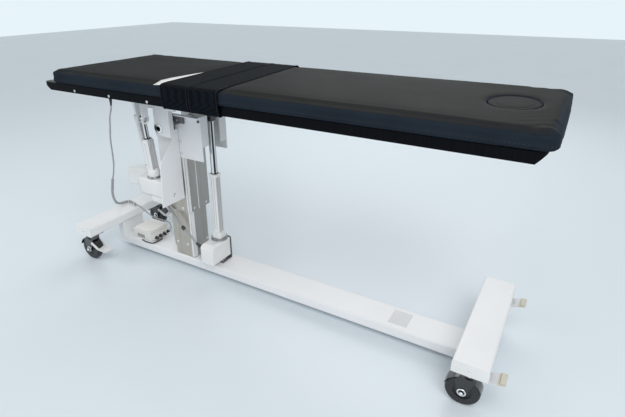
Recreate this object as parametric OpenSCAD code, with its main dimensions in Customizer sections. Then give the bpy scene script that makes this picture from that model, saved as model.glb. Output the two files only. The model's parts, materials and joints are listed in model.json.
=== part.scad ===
// Radiography table: floor frame on casters, telescopic column, tilting and rolling tray.
// Millimetres, +Z up, +X to the foot end, origin under the middle of the whole table.

/* [Floor frame] */
// distance from the origin to the middle of the head crossbar
head_cross_x = 1022.5; // [1000:0.5:1050]
// distance from the origin to the middle of the foot crossbar
foot_cross_x = 989; // [960:0.5:1010]
// crossbar width along the table
cross_w = 125; // [118:1:130]
// crossbar length across the table
cross_len = 600; // [560:1:640]
// crossbar height
cross_h = 49; // [46:1:54]
// rounding of the crossbar edges
cross_r = 7; // [4:0.5:12]
// end cap thickness of the crossbars
cap_t = 4; // [2:0.5:6]
// long beam width
beam_w = 146; // [138:1:150]
// long beam height
beam_h = 46; // [42:1:48]
// clear height under the long beam
beam_z = 28; // [24:1:34]
// thickness of the two risers along the table
riser_t = 47; // [42:1:50]
// rounding of the beam and riser edges
beam_r = 6; // [3:0.5:9]

/* [Casters] */
// height of the casters, floor to crossbar
caster_h = 165; // [163:1:170]
// wheel diameter
wheel_d = 125; // [118:1:126]
// wheel width
wheel_w = 34; // [30:1:35]
// distance of the caster pins in from the crossbar ends
caster_in = 50; // [38:1:65]
// trail of the wheel behind the swivel axis
caster_trail = 16; // [12:1:20]
// wheel axle diameter
axle_d = 12; // [10:0.5:14]
// swivel pin diameter
swivel_d = 20; // [16:1:24]
// reach of the foot brake pedals from the swivel axis
foot_pedal_reach = 116; // [108:1:120]
// reach of the head brake pedals from the swivel axis
head_pedal_reach = 122; // [112:1:130]

/* [Column] */
// distance from the origin back to the column axis
column_x = 523.5; // [515:0.5:530]
// fixed post size along the table
post_x = 137; // [132:1:140]
// fixed post size across the table
post_y = 128; // [124:1:132]
// top of the fixed post
post_top = 450; // [430:1:455]
// rounding of the post corners
post_r = 12; // [8:1:16]
// gap between post and sleeve wall, filled by the slide pads
pad_gap = 7; // [6:0.5:8]
// wall of the moving sleeve
sleeve_wall = 7; // [6:0.5:8]
// lower edge of the sleeve in the raised position
sleeve_z = 346; // [340:1:352]
// top of the sleeve
sleeve_top = 740; // [730:1:745]

/* [Lift] */
// distance of the lift actuator axis from the column axis
lift_reach = 194.5; // [190:0.5:198]
// lift rod diameter
lift_rod_d = 31; // [28:1:32]
// lift tube side
lift_tube_w = 40; // [39:1:44]
// lower end of the lift tube
lift_tube_z = 245; // [240:1:250]
// upper end of the lift tube
lift_tube_top = 542; // [536:1:546]
// height of the lift pin
lift_pin_z = 830; // [826:1:832]

/* [Tilt] */
// height of the tilt axis
tilt_z = 785; // [782:1:788]
// tilt shaft outer diameter
shaft_d = 45; // [42:1:48]
// tilt shaft bore
shaft_bore = 24; // [20:1:28]
// outer faces of the yoke cheeks from the middle line
cheek_y = 138; // [136:1:141]
// tilt actuator pin, distance from the tilt axis along the table
tilt_arm_x = 305.5; // [300:0.5:310]
// tilt actuator pin, height above the tilt axis
tilt_arm_z = 83; // [80:1:85]
// tilt actuator lower pin, distance from the tilt axis along the table
tilt_base_x = 237.5; // [232:0.5:242]
// tilt actuator lower pin, depth under the tilt axis
tilt_base_z = 345; // [340:1:350]

/* [Roll] */
// height of the roll axis
roll_z = 918; // [916:1:919]
// roll actuator distance from the column axis along the table
roll_act_x = 49.5; // [48:0.5:51]
// roll actuator pin from the middle line
roll_arm_y = 178; // [174:1:182]
// roll actuator pin depth under the roll axis
roll_arm_z = 83; // [80:1:86]
// roll actuator lower pin from the middle line
roll_base_y = 150; // [147:1:153]
// roll actuator lower pin height
roll_base_z = 470; // [466:1:474]

/* [Tray and mattress] */
// tray length at its lip
tray_len = 2112; // [2060:1:2150]
// distance from the origin to the middle of the tray
tray_x = 16; // [10:1:22]
// tray width
tray_w = 650; // [620:1:680]
// underside of the tray
tray_z = 950; // [949:1:952]
// tray thickness
tray_t = 35; // [32:1:38]
// slope length of the tray ends at the head
tray_slope_head = 44; // [36:1:52]
// slope length of the tray ends at the foot
tray_slope_foot = 26; // [20:1:32]
// mattress length
pad_len = 2080; // [2040:1:2100]
// distance from the origin to the middle of the mattress
pad_x = 58; // [50:1:66]
// mattress overhang beyond the tray on each side
pad_over = 10; // [6:0.5:14]
// mattress thickness
pad_t = 56; // [50:1:62]
// length of the oval face plug along the table
plug_len = 160; // [150:1:170]
// width of the oval face plug across the table
plug_w = 216; // [200:1:230]
// width of each strap band
strap_w = 141; // [130:1:150]

/* [Hidden] */

// Colours
white = [0.93, 0.94, 0.95];
cream = [0.92, 0.90, 0.85];
steel = [0.62, 0.63, 0.62];
dark_steel = [0.30, 0.31, 0.32];
chrome = [0.80, 0.81, 0.82];
gloss_black = [0.04, 0.04, 0.045];
cloth_black = [0.09, 0.09, 0.10];
rubber_black = [0.06, 0.06, 0.065];
cable_grey = [0.60, 0.61, 0.62];

// Smoothness
round_fn = 64;
corner_fn = 32;
cord_sides = 10;

// Clearances
run = 0.05;
slide = 0.2;
air = 0.4;
over = 1;

// Heights and faces of the floor frame
beam_top = beam_z + beam_h;
riser_head_in = 24;
riser_foot_in = 25;
riser_head_x = head_cross_x - riser_head_in;
riser_foot_x = foot_cross_x - riser_foot_in;

// Casters
caster_y = cross_len / 2 - caster_in;
wheel_z = wheel_d / 2;
tyre_r = 9;
hub_d = 66;
hub_recess = 4;
fork_t = 5;
fork_gap = 1;
fork_in = wheel_w / 2 + fork_gap;
fork_out = fork_in + fork_t;
fork_eye_r = 17;
crown_d = 60;
crown_t = 6;
hood_gap = 1.5;
hood_t = 2.5;
crown_room = 1;
crown_z = wheel_d + hood_gap + crown_room;
crown_top = crown_z + crown_t;
head_x = 64;
head_y = 46;
head_r = 10;
plate_x = 110;
plate_y = 84;
plate_t = 5;
head_z = crown_top + air;
swivel_h = 8;
swivel_top = head_z + swivel_h;
bolt_d = 20;
bolt_t = 5;
pedal_pin_d = 12;
pedal_pin_z = 151;
pedal_arm_t = 5;
pedal_arm_h = 9;
pedal_plate_w = 60;
pedal_plate_t = 5;
pedal_end_in = 1;
pedal_rise = 15;
pedal_plate_x = 64;
pedal_arm_over = 6;
pedal_eye = 2;
stub_d = 8;
stub_x = 20;
stub_z = 108;
brake_plate_x = 56;
brake_plate_z = 84;
brake_arm_h = 12;
brake_arm_drop = 1;
brake_plate_in = 4;
stub_eye = 3;
stub_root = 5;

// Column
sleeve_wall_gap = sleeve_wall + pad_gap;
sleeve_x = post_x + 2 * sleeve_wall_gap;
sleeve_y = post_y + 2 * sleeve_wall_gap;
sleeve_r = 8;
inner_x = post_x + 2 * pad_gap;
inner_y = post_y + 2 * pad_gap;
seam_w = 2;
seam_d = 1;
seam_x = -18;
post_seam_y = 24;
sleeve_seam_y = 15;
post_step = 16;
post_step_z = 118;
screw_d = 12;
screw_t = 2;
post_screw_x = [-40, 29];
post_screw_y = [-40, 44];
sleeve_screw_x = 38;
sleeve_screw_y = [-46, 44];
arm_screw_x = 73;
arm_screw_z = [662, 722];
post_screw_z = 146;
sleeve_screw_z = 364;
pad_h = 40;
pad_r = 2;
pad_room = 1;
pad_z = 8;
cover_x = 100;
cover_z = 575;
cover_top = 742;
cover_t = 3;
cover_dx = -28;
cover_r = 4;

// Carriage arms
arm_t = 5;
arm_in = sleeve_y / 2;
arm_out = arm_in + arm_t;
arm_left = -62;
arm_step = 63;
arm_right = 205.5;
arm_low = 640;
arm_step_z = 752;
arm_top = 850;
arm_eye_room = 2;
arm_flange_t = 4;
arm_flange_w = 21;
arm_return = 43;
arm_return_z = 708;
far_arm_right = 216.5;
far_arm_low = 665;
bearing_r = 38;
bearing_gap = 1;
cheek_t = 6;
bearing_out = cheek_y - cheek_t - bearing_gap;
bearing_lip = 10;
bearing_lip_r = 47;
saddle_x0 = 42;
saddle_x1 = 111;
saddle_x = 75;
saddle_z = 812;
saddle_t = 12;
saddle_notch_r = 17;
saddle_pin_d = 12;
saddle_pin_l = 26;
lift_x = column_x - lift_reach;

// Lift actuator
bracket_t = 6;
bracket_w = 48;
bracket_z = 199;
bracket_y = 41;
bracket_foot_y = -30;
bracket_dx = 14;
bracket_r = 10;
lift_pin_d = 12;
lift_pin_rear_z = 150;
motor_x = 80;
motor_y0 = -112;
motor_y1 = 40;
motor_z0 = 92;
motor_z1 = 200;
motor_r = 12;
motor_cut = 34;
motor_slope = 35;
ring_d = 84;
ring_groove = 1;
ring_t = 11;
collar_w = 56;
collar_r = 12;
lift_tube_r = 8;
tube_wall = 3;
tube_room = 1;
gland_w = 46;
gland_t = 15;
lift_rod_in = 42;
clevis_w = 36;
clevis_top = 18;
clevis_low = 12;
clevis_r = 5;

// Tilt actuator
tilt_tube_d = 36;
tilt_rod_d = 22;
tilt_tube_low = 76;
tilt_tube_high = 348;
tilt_rod_low = 240;
tilt_motor_len = 150;
tilt_motor_low = -24;
tilt_motor_high = 72;
tilt_motor_w = 76;
tilt_motor_near = 24;
tilt_pin_d = 12;
eye_r = 13;
eye_w = 28;
ear_t = 5;
ear_gap = 1;
ear_pin_l = 42;
act_stub_d = 20;
act_arm_t = 8;
act_arm_room = 0.5;
act_arm_h = 56;
rear_plate_share = 1.5;
rear_plate_r = 6;
ring_small_t = 8;
act_foot = 10;
act_cap = 2;
act_cap_h = 20;
tilt_slot_out = 5;
roll_slot_out = 10.5;
slot_play = 2.8;
ear_wall = 9;

// Yoke
cheek_x0 = -25.5;
cheek_x1 = 68.5;
cheek_z = 750;
yoke_drop = 60;
yoke_top = tray_z - yoke_drop;
yoke_t = 6;
yoke_left = -88.5;
yoke_right = 111.5;
yoke_rail_h = 14;
notch_x = 60;
notch_y = 108;
cheek_return = 26;
cheek_return_t = 4;
rear_in = -60;
rear_h = 34;
waist_share = 0.7;
// a slot's straight sides lie this share of its radius out, so they cross its round ends cleanly
straight_share = 0.995;
shaft_out = 4;

// Roll hanger outline in y and z, and the lower lug
hanger_t = 5;
hanger_x = cheek_x1 - cheek_return_t - hanger_t;
hanger_y = [-232, -86, -86, -125, -125, -216];
hanger_z = [432, 430, 780, 781, 736, 642];
hanger_boss_r = 20;
hanger_boss_l = 14;
stub_short = 2;

// Roll actuator
roll_tube_d = 38;
roll_rod_d = 22;
roll_tube_low = 78;
roll_tube_high = 270;
roll_rod_low = 205;
roll_motor_x0 = -53;
roll_motor_x1 = 94;
roll_motor_low = -54;
roll_motor_high = 74;
roll_motor_w = 74;

// Roll frame
block_t = 24;
block_x = [-66, 26];
block_w = 62;
block_r = 19;
block_base = 10;
roll_lug_t = 18;
roll_lug_x = [-42, 2];
roll_shaft_x0 = -82;
roll_shaft_x1 = 42;
roll_lug_r = 16;
roll_shaft_d = 20;
frame_x0 = -108.5;
frame_x1 = 121.5;
frame_y0 = -206;
frame_y1 = 160;
frame_t = 8;
frame_r = 12;

// Tray, mattress and straps
tray_r = 26;
tray_edge = 5;
stud_d = 12;
stud_t = 3;
stud_z = 961;
stud_in = 220;
stud_pitch = 225;
stud_count = 3;
plug_x = 938;
plug_fn = 48;
plug_depth = 30;
plug_gap = 1;
plug_crown = 4;
plug_flat = 1;
pad_w = tray_w + 2 * pad_over;
strap_t = 2;
strap_x0 = -281;
strap_gap = 2;
strap_skew_share = 0.078;
strap_seat = 0.3;
groove_d = 1;
groove_room = 1;

// Control box on the beam
box_len = 132;
box_y = 8;
box_w = 140;
box_h = 52;
box_r = 8;
lid_h = 12;
lid_over = 3;
socket_t = 14;
socket_w = 118;
socket_h = 38;
socket_low = 6;
socket_r = 4;
socket_z = beam_top + socket_low + socket_h / 2;
socket_d = 22;
socket_out = 4;
socket_sink = 1;
socket_count = 4;
// the box keeps its share of the free room between the riser and the post
box_room = riser_head_x - riser_t / 2 - column_x - post_x / 2 - box_len - socket_t - socket_out;
box_room_share = 0.2704;
box_x = riser_head_x - riser_t / 2 - box_room_share * box_room - box_len / 2;

module rounded_outline(x, y, r)
{
    square([x - 2 * r, y], center = true);
    square([x, y - 2 * r], center = true);
    for (sx = [-1, 1], sy = [-1, 1])
        translate([sx * (x / 2 - r), sy * (y / 2 - r)])
            circle(r, $fn = corner_fn);
}

// standing on z = 0, centred in x and y
module rounded_post(x, y, z, r)
{
    linear_extrude(z)
        rounded_outline(x, y, r);
}

// rounded on all edges, centred
module rounded_block(x, y, z, r)
{
    intersection() {
        translate([0, 0, -z / 2])
            rounded_post(x, y, z, r);
        along_y(y)
            rounded_outline(x, z, r);
        along_x(x)
            rounded_outline(y, z, r);
    }
}

// outline x becomes X, outline y becomes Z, centred on y = 0
module along_y(len)
{
    rotate([90, 0, 0])
        translate([0, 0, -len / 2])
            linear_extrude(len)
                children();
}

// outline x becomes Y, outline y becomes Z, centred on x = 0
module along_x(len)
{
    rotate([90, 0, 90])
        translate([0, 0, -len / 2])
            linear_extrude(len)
                children();
}

// cylinder along Y, centred
module rod_y(d, len)
{
    rotate([90, 0, 0])
        cylinder(len, d / 2, d / 2, center = true, $fn = round_fn);
}

// cylinder along X, centred
module rod_x(d, len)
{
    rotate([0, 90, 0])
        cylinder(len, d / 2, d / 2, center = true, $fn = round_fn);
}

// round cord swept through the points, one closed polyhedron
function unit(v) = v / norm(v);
function point_tangent(p, i) =
    unit(p[min(i + 1, len(p) - 1)] - p[max(i - 1, 0)]);
function cord_side(t, up) = unit(cross(t, up));
function cord_ring(p, i, r, up) =
    let (t = point_tangent(p, i), a = cord_side(t, up), b = cross(a, t))
    [for (k = [0:cord_sides - 1]) let (w = 360 * k / cord_sides)
        p[i] + r[i] * (cos(w) * a + sin(w) * b)];

module cord(p, r, up)
{
    n = len(p);
    points = [for (i = [0:n - 1]) each cord_ring(p, i, r, up)];
    sides = [for (i = [0:n - 2], k = [0:cord_sides - 1])
        let (a = i * cord_sides + k, b = i * cord_sides + (k + 1) % cord_sides)
        [a, b, b + cord_sides, a + cord_sides]];
    first = [for (k = [cord_sides - 1:-1:0]) k];
    last = [for (k = [0:cord_sides - 1]) (n - 1) * cord_sides + k];
    polyhedron(points, concat(sides, [first, last]));
}

// slot of half-width r, running out from the pin by len in the direction dir
module round_rod(h, r)
{
    cylinder(h, r, r, $fn = round_fn);
}

module centred_disc(h, r)
{
    cylinder(h, r, r, center = true, $fn = round_fn);
}

module slot(r, len, dir)
{
    circle(r, $fn = round_fn);
    rotate(dir) {
        translate([0, -straight_share * r])
            square([len, 2 * straight_share * r]);
        translate([len, 0])
            circle(r, $fn = round_fn);
    }
}

module column_frame()
{
    translate([-column_x, 0, 0])
        children();
}

// Floor frame

module crossbar(x)
{
    color(white)
        translate([x, 0, caster_h + cross_h / 2])
            along_y(cross_len - 2 * cap_t)
                rounded_outline(cross_w, cross_h, cross_r);
}

module head_crossbar()
{
    crossbar(-head_cross_x);
}

module foot_crossbar()
{
    crossbar(foot_cross_x);
}

module crossbar_caps()
{
    color(white)
        for (x = [-head_cross_x, foot_cross_x], side = [-1, 1])
            translate([x, side * (cross_len - cap_t) / 2, caster_h + cross_h / 2])
                along_y(cap_t)
                    rounded_outline(cross_w, cross_h, cross_r);
}

module base_beam()
{
    x0 = -riser_head_x + riser_t / 2;
    x1 = riser_foot_x - riser_t / 2;
    color(white)
        translate([(x0 + x1) / 2, 0, beam_z + beam_h / 2])
            along_x(x1 - x0)
                rounded_outline(beam_w, beam_h, beam_r);
}

module risers()
{
    color(white)
        for (x = [-riser_head_x, riser_foot_x])
            translate([x, 0, beam_z])
                rounded_post(riser_t, beam_w, caster_h - beam_z, beam_r);
}

// Casters

module at_caster(head, far)
{
    translate([head ? -head_cross_x : foot_cross_x, far ? caster_y : -caster_y, 0])
        children();
}

module caster_head(foot)
{
    difference() {
        union() {
            translate([0, 0, caster_h - plate_t])
                rounded_post(plate_x, plate_y, plate_t, head_r);
            translate([0, 0, head_z])
                rounded_post(head_x, head_y, caster_h - plate_t - head_z, head_r);
        }
        translate([0, 0, head_z - over])
            cylinder(swivel_top - head_z + over + run, swivel_d / 2 + run, swivel_d / 2 + run,
                $fn = round_fn);
        if (foot)
            translate([0, 0, pedal_pin_z])
                rod_y(pedal_pin_d + 2 * run, head_y + 2 * over);
    }
}

module caster_heads()
{
    color(dark_steel)
        for (head = [true, false], far = [true, false])
            at_caster(head, far)
                caster_head(!head);
}

module fork_leg()
{
    polygon([
        [-caster_trail - fork_eye_r, wheel_z],
        [-caster_trail + fork_eye_r, wheel_z],
        [crown_d / 2 - fork_t, crown_z],
        [crown_d / 2 - fork_t, crown_top],
        [-crown_d / 2, crown_top],
        [-caster_trail - wheel_d / 4, crown_z - fork_eye_r]
    ]);
    translate([-caster_trail, wheel_z])
        circle(fork_eye_r, $fn = round_fn);
}

module caster_fork(head)
{
    color(gloss_black)
        difference() {
            union() {
                for (side = [-1, 1])
                    translate([0, side * (fork_in + fork_out) / 2, 0])
                        along_y(fork_t)
                            fork_leg();
                translate([0, 0, crown_z])
                    cylinder(crown_t, crown_d / 2, crown_d / 2, $fn = round_fn);
                translate([0, 0, crown_z])
                    cylinder(swivel_top - crown_z, swivel_d / 2, swivel_d / 2, $fn = round_fn);
                fork_hood();
                translate([-caster_trail, 0, wheel_z]) {
                    rod_y(axle_d, 2 * fork_out);
                    for (side = [-1, 1])
                        translate([0, side * (fork_out + bolt_t / 2), 0])
                            rod_y(bolt_d, bolt_t);
                }
            }
            if (head)
                for (side = [-1, 1])
                    translate([stub_x, side * (fork_in + fork_out) / 2, stub_z])
                        rod_y(stub_d + 2 * run, fork_t + 2 * over);
        }
}

// cover over the upper half of the wheel, joined to the legs
module fork_hood()
{
    hood_in = wheel_d / 2 + hood_gap;
    hood_out = hood_in + hood_t;
    translate([-caster_trail, 0, wheel_z])
        difference() {
            rod_y(2 * hood_out, 2 * fork_out);
            rod_y(2 * hood_in, 2 * fork_out + 2 * over);
            translate([-hood_out - over, -fork_out - over, -hood_out - over])
                cube([2 * (hood_out + over), 2 * (fork_out + over), hood_out + over + fork_eye_r]);
        }
}

module caster_wheel()
{
    color(rubber_black)
        translate([-caster_trail, 0, wheel_z])
            rotate([90, 0, 0])
                difference() {
                    union() {
                        for (z = [-1, 1])
                            translate([0, 0, z * (wheel_w / 2 - tyre_r)])
                                rotate_extrude($fn = round_fn)
                                    translate([wheel_d / 2 - tyre_r, 0])
                                        circle(tyre_r, $fn = corner_fn);
                        centred_disc(wheel_w - 2 * tyre_r, wheel_d / 2);
                        centred_disc(wheel_w, wheel_d / 2 - tyre_r);
                    }
                    centred_disc(wheel_w + 2 * over, axle_d / 2 + run);
                    for (side = [-1, 1])
                        translate([0, 0, side * (wheel_w / 2)])
                            difference() {
                                centred_disc(2 * hub_recess, hub_d / 2);
                                centred_disc(2 * (hub_recess + over), bolt_d / 2);
                            }
                }
}

// stirrup pedal on a cross shaft through the fixed caster head
module foot_pedal()
{
    arm_y = head_y / 2 + air + pedal_arm_t / 2;
    color(cream) {
        translate([0, 0, pedal_pin_z])
            rod_y(pedal_pin_d, 2 * arm_y + pedal_arm_t);
        for (side = [-1, 1])
            translate([0, side * arm_y, pedal_pin_z])
                along_y(pedal_arm_t) {
                    circle(pedal_pin_d / 2 + pedal_eye, $fn = round_fn);
                    translate([0, -pedal_arm_h / 2])
                        square([pedal_plate_x + pedal_arm_over, pedal_arm_h]);
                }
        translate([pedal_plate_x, 0, pedal_pin_z - pedal_plate_t / 2])
            rotate([0, -pedal_rise, 0])
                translate([(foot_pedal_reach - pedal_plate_x) / (2 * cos(pedal_rise)), 0, 0])
                    rounded_post((foot_pedal_reach - pedal_plate_x) / cos(pedal_rise) - pedal_end_in,
                        pedal_plate_w, pedal_plate_t, 2 * pedal_plate_t / 2);
    }
}

// lower pedal, pinned to the fork legs and turning with the fork
module head_pedal()
{
    arm_y = fork_out + air + pedal_arm_t / 2;
    color(cream) {
        for (side = [-1, 1]) {
            translate([0, side * arm_y, 0])
                along_y(pedal_arm_t) {
                    translate([stub_x, stub_z])
                        circle(stub_d / 2 + stub_eye, $fn = round_fn);
                    polygon([
                        [stub_x - stub_root, stub_z - stub_root],
                        [stub_x + stub_root, stub_z + stub_root],
                        [brake_plate_x + brake_arm_h, brake_plate_z + brake_arm_h / 2 - brake_arm_drop],
                        [brake_plate_x + brake_arm_h / 2, brake_plate_z - brake_arm_h / 2]
                    ]);
                }
            translate([stub_x, side * (fork_in + air + (arm_y - fork_in) / 2), stub_z])
                rod_y(stub_d, arm_y - fork_in);
        }
        translate([(brake_plate_x + brake_plate_in + head_pedal_reach) / 2, 0,
            brake_plate_z - pedal_plate_t])
            rounded_post(
                head_pedal_reach - brake_plate_x - brake_plate_in, 2 * arm_y + pedal_arm_t,
                pedal_plate_t, pedal_plate_t
            );
    }
}

module fork_head_near()
{
    at_caster(true, false)
        caster_fork(true);
}

module fork_head_far()
{
    at_caster(true, true)
        caster_fork(true);
}

module fork_foot_near()
{
    at_caster(false, false)
        caster_fork(false);
}

module fork_foot_far()
{
    at_caster(false, true)
        caster_fork(false);
}

module wheel_head_near()
{
    at_caster(true, false)
        caster_wheel();
}

module wheel_head_far()
{
    at_caster(true, true)
        caster_wheel();
}

module wheel_foot_near()
{
    at_caster(false, false)
        caster_wheel();
}

module wheel_foot_far()
{
    at_caster(false, true)
        caster_wheel();
}

module pedal_head_near()
{
    at_caster(true, false)
        head_pedal();
}

module pedal_head_far()
{
    at_caster(true, true)
        head_pedal();
}

module pedal_foot_near()
{
    at_caster(false, false)
        foot_pedal();
}

module pedal_foot_far()
{
    at_caster(false, true)
        foot_pedal();
}

// Column

module column_post()
{
    color(steel)
        column_frame()
            difference() {
                translate([0, 0, beam_top])
                    rounded_post(post_x, post_y, post_top - beam_top, post_r);
                translate([-post_x / 2 - over, -post_y / 2 - over, beam_top - over])
                    cube([post_step + over, post_y + 2 * over, post_step_z - beam_top + over]);
                for (side = [-1, 1])
                    translate([seam_x - seam_w / 2, side * post_y / 2 - seam_d, beam_top - over])
                        cube([seam_w, 2 * seam_d, post_top]);
                for (side = [-1, 1])
                    translate([side * post_x / 2 - seam_d, post_seam_y - seam_w / 2, beam_top - over])
                        cube([2 * seam_d, seam_w, post_top]);
            }
}

module post_screws()
{
    color(chrome)
        column_frame() {
            for (x = post_screw_x, side = [-1, 1])
                translate([x, side * (post_y + screw_t) / 2, post_screw_z])
                    rod_y(screw_d, screw_t);
            for (y = post_screw_y)
                translate([(post_x + screw_t) / 2, y, post_screw_z])
                    rod_x(screw_d, screw_t);
        }
}

module sleeve()
{
    color(steel)
        column_frame()
            difference() {
                translate([0, 0, sleeve_z])
                    rounded_post(sleeve_x, sleeve_y, sleeve_top - sleeve_z, sleeve_r);
                translate([0, 0, sleeve_z - over])
                    rounded_post(inner_x, inner_y, sleeve_top - sleeve_z + over - sleeve_wall, post_r);
                for (side = [-1, 1])
                    translate([seam_x - seam_w / 2, side * sleeve_y / 2 - seam_d, sleeve_z - over])
                        cube([seam_w, 2 * seam_d, sleeve_top]);
                for (side = [-1, 1])
                    translate([side * sleeve_x / 2 - seam_d, sleeve_seam_y - seam_w / 2, sleeve_z - over])
                        cube([2 * seam_d, seam_w, sleeve_top]);
            }
}

// a slide pad fits between the two post screws that it passes
function pad_span(places) = places[1] - places[0] - screw_d - 2 * pad_room;
function pad_middle(places) = (places[0] + places[1]) / 2;

module slide_pads()
{
    pad_d = pad_gap - slide;
    color(dark_steel)
        column_frame()
            for (side = [-1, 1]) {
                translate([side * (inner_x - pad_d) / 2, pad_middle(post_screw_y), sleeve_z + pad_z])
                    rounded_post(pad_d, pad_span(post_screw_y), pad_h, pad_r);
                translate([pad_middle(post_screw_x), side * (inner_y - pad_d) / 2, sleeve_z + pad_z])
                    rounded_post(pad_span(post_screw_x), pad_d, pad_h, pad_r);
            }
}

module sleeve_screws()
{
    color(chrome)
        column_frame() {
            for (side = [-1, 1])
                translate([sleeve_screw_x, side * (sleeve_y + screw_t) / 2, sleeve_screw_z])
                    rod_y(screw_d, screw_t);
            for (y = sleeve_screw_y)
                translate([(sleeve_x + screw_t) / 2, y, sleeve_screw_z])
                    rod_x(screw_d, screw_t);
            for (z = arm_screw_z, side = [-1, 1])
                translate([arm_screw_x, side * (arm_out + screw_t / 2), z])
                    rod_y(screw_d, screw_t);
        }
}

module sleeve_cover()
{
    color(white)
        column_frame()
            translate([cover_dx, -(sleeve_y + cover_t) / 2, (cover_z + cover_top) / 2])
                along_y(cover_t)
                    rounded_outline(cover_x, cover_top - cover_z, cover_r);
}

// Control box on the beam

module control_box()
{
    color(cream) {
        translate([-box_x, box_y, beam_top])
            rounded_post(box_len, box_w, box_h, box_r);
        translate([-box_x + (box_len + socket_t) / 2 - socket_sink, box_y, socket_z])
            along_x(socket_t + 2 * socket_sink)
                rounded_outline(socket_w, socket_h, socket_r);
        for (i = [0:socket_count - 1])
            translate([-box_x + box_len / 2 + socket_t + socket_out / 2, socket_y(i), socket_z])
                rod_x(socket_d, socket_out);
    }
}

function socket_y(i) = box_y + (i - (socket_count - 1) / 2) * socket_w / socket_count;

module control_box_lid()
{
    color(cream)
        translate([-box_x, box_y, beam_top + box_h]) {
            rounded_post(box_len + 2 * lid_over, box_w + 2 * lid_over, lid_h / 2, box_r + lid_over);
            rounded_post(box_len - 2 * lid_over, box_w - 2 * lid_over, lid_h, box_r);
        }
}

// Lift actuator

module lift_bracket()
{
    color(dark_steel)
        translate([-lift_x, 0, 0]) {
            translate([bracket_dx, (bracket_foot_y + bracket_y + bracket_t) / 2, beam_top])
                rounded_post(bracket_w, bracket_y + bracket_t - bracket_foot_y, bracket_t, 2);
            translate([bracket_dx, bracket_y + bracket_t / 2, (beam_top + bracket_z) / 2])
                along_y(bracket_t)
                    rounded_outline(bracket_w, bracket_z - beam_top, bracket_r);
            translate([0, bracket_y, lift_pin_rear_z])
                rod_y(lift_pin_d, 4 * bracket_t);
        }
}

module lift_motor()
{
    color(white)
        difference() {
            translate([-lift_x, (motor_y0 + motor_y1) / 2, (motor_z0 + motor_z1) / 2])
                rounded_block(motor_x, motor_y1 - motor_y0, motor_z1 - motor_z0, motor_r);
            translate([-lift_x, motor_y0, motor_z1])
                rotate([motor_slope, 0, 0])
                    cube([motor_x + 2 * over, 3 * motor_cut, motor_cut], center = true);
            translate([-lift_x, motor_y1, lift_pin_rear_z])
                rod_y(lift_pin_d + 2 * run, 4 * bracket_t + 2 * over);
        }
}

module lift_ring()
{
    color(chrome)
        translate([-lift_x, 0, motor_z1])
            difference() {
                cylinder(ring_t, ring_d / 2, ring_d / 2, $fn = round_fn);
                for (z = [ring_t / 3, 2 * ring_t / 3])
                    translate([0, 0, z - ring_groove / 2])
                        difference() {
                            cylinder(ring_groove, ring_d, ring_d, $fn = round_fn);
                            cylinder(ring_groove, ring_d / 2 - ring_groove, ring_d / 2 - ring_groove,
                                $fn = round_fn);
                        }
            }
}

module lift_collar()
{
    color(white)
        translate([-lift_x, 0, motor_z1 + ring_t])
            rounded_post(collar_w, collar_w, lift_tube_z - motor_z1 - ring_t, collar_r);
}

module lift_tube()
{
    color(white)
        translate([-lift_x, 0, lift_tube_z])
            difference() {
                rounded_post(lift_tube_w, lift_tube_w, lift_tube_top - lift_tube_z, lift_tube_r);
                translate([0, 0, tube_wall])
                    round_rod(lift_tube_top - lift_tube_z, lift_rod_d / 2 + tube_room);
            }
}

module lift_gland()
{
    color(gloss_black)
        translate([-lift_x, 0, lift_tube_top])
            difference() {
                rounded_post(gland_w, gland_w, gland_t, lift_tube_r);
                translate([0, 0, -over])
                    cylinder(gland_t + 2 * over, lift_rod_d / 2 + run, lift_rod_d / 2 + run, $fn = round_fn);
            }
}

module lift_rod()
{
    low = lift_tube_top - lift_rod_in;
    color(chrome)
        translate([-lift_x, 0, low])
            cylinder(lift_pin_z - clevis_low - low, lift_rod_d / 2, lift_rod_d / 2, $fn = round_fn);
}

module lift_clevis()
{
    color(gloss_black)
        translate([-lift_x, 0, 0]) {
            translate([0, 0, lift_pin_z - clevis_low])
                rounded_post(clevis_w, clevis_w, clevis_low + clevis_top, clevis_r);
            translate([0, 0, lift_pin_z])
                rod_y(lift_pin_d, 2 * arm_out + 4 * screw_t);
        }
}

// Carriage

module arm_outline(right, low)
{
    difference() {
        polygon([
            [arm_step, low], [right, low], [right, arm_top],
            [arm_left, arm_top], [arm_left, arm_step_z], [arm_step, arm_step_z]
        ]);
        translate([0, tilt_z])
            circle(shaft_d / 2 + arm_eye_room, $fn = round_fn);
        translate([lift_reach, lift_pin_z])
            circle(lift_pin_d / 2 + run, $fn = round_fn);
    }
}

module arm_plates()
{
    color(white)
        column_frame() {
            translate([0, -(arm_in + arm_out) / 2, 0])
                along_y(arm_t)
                    arm_outline(arm_right, arm_low);
            translate([arm_step, -arm_out - arm_flange_w, arm_top - arm_flange_t])
                cube([arm_right - arm_step, arm_flange_w, arm_flange_t]);
            translate([arm_right - arm_flange_t, -arm_in, arm_return_z])
                cube([arm_flange_t, arm_return, arm_top - arm_return_z]);
            translate([0, (arm_in + arm_out) / 2, 0])
                along_y(arm_t)
                    arm_outline(far_arm_right, far_arm_low);
            translate([far_arm_right - arm_flange_t, arm_in - arm_return, arm_return_z])
                cube([arm_flange_t, arm_return, arm_top - arm_return_z]);
        }
}

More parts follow.
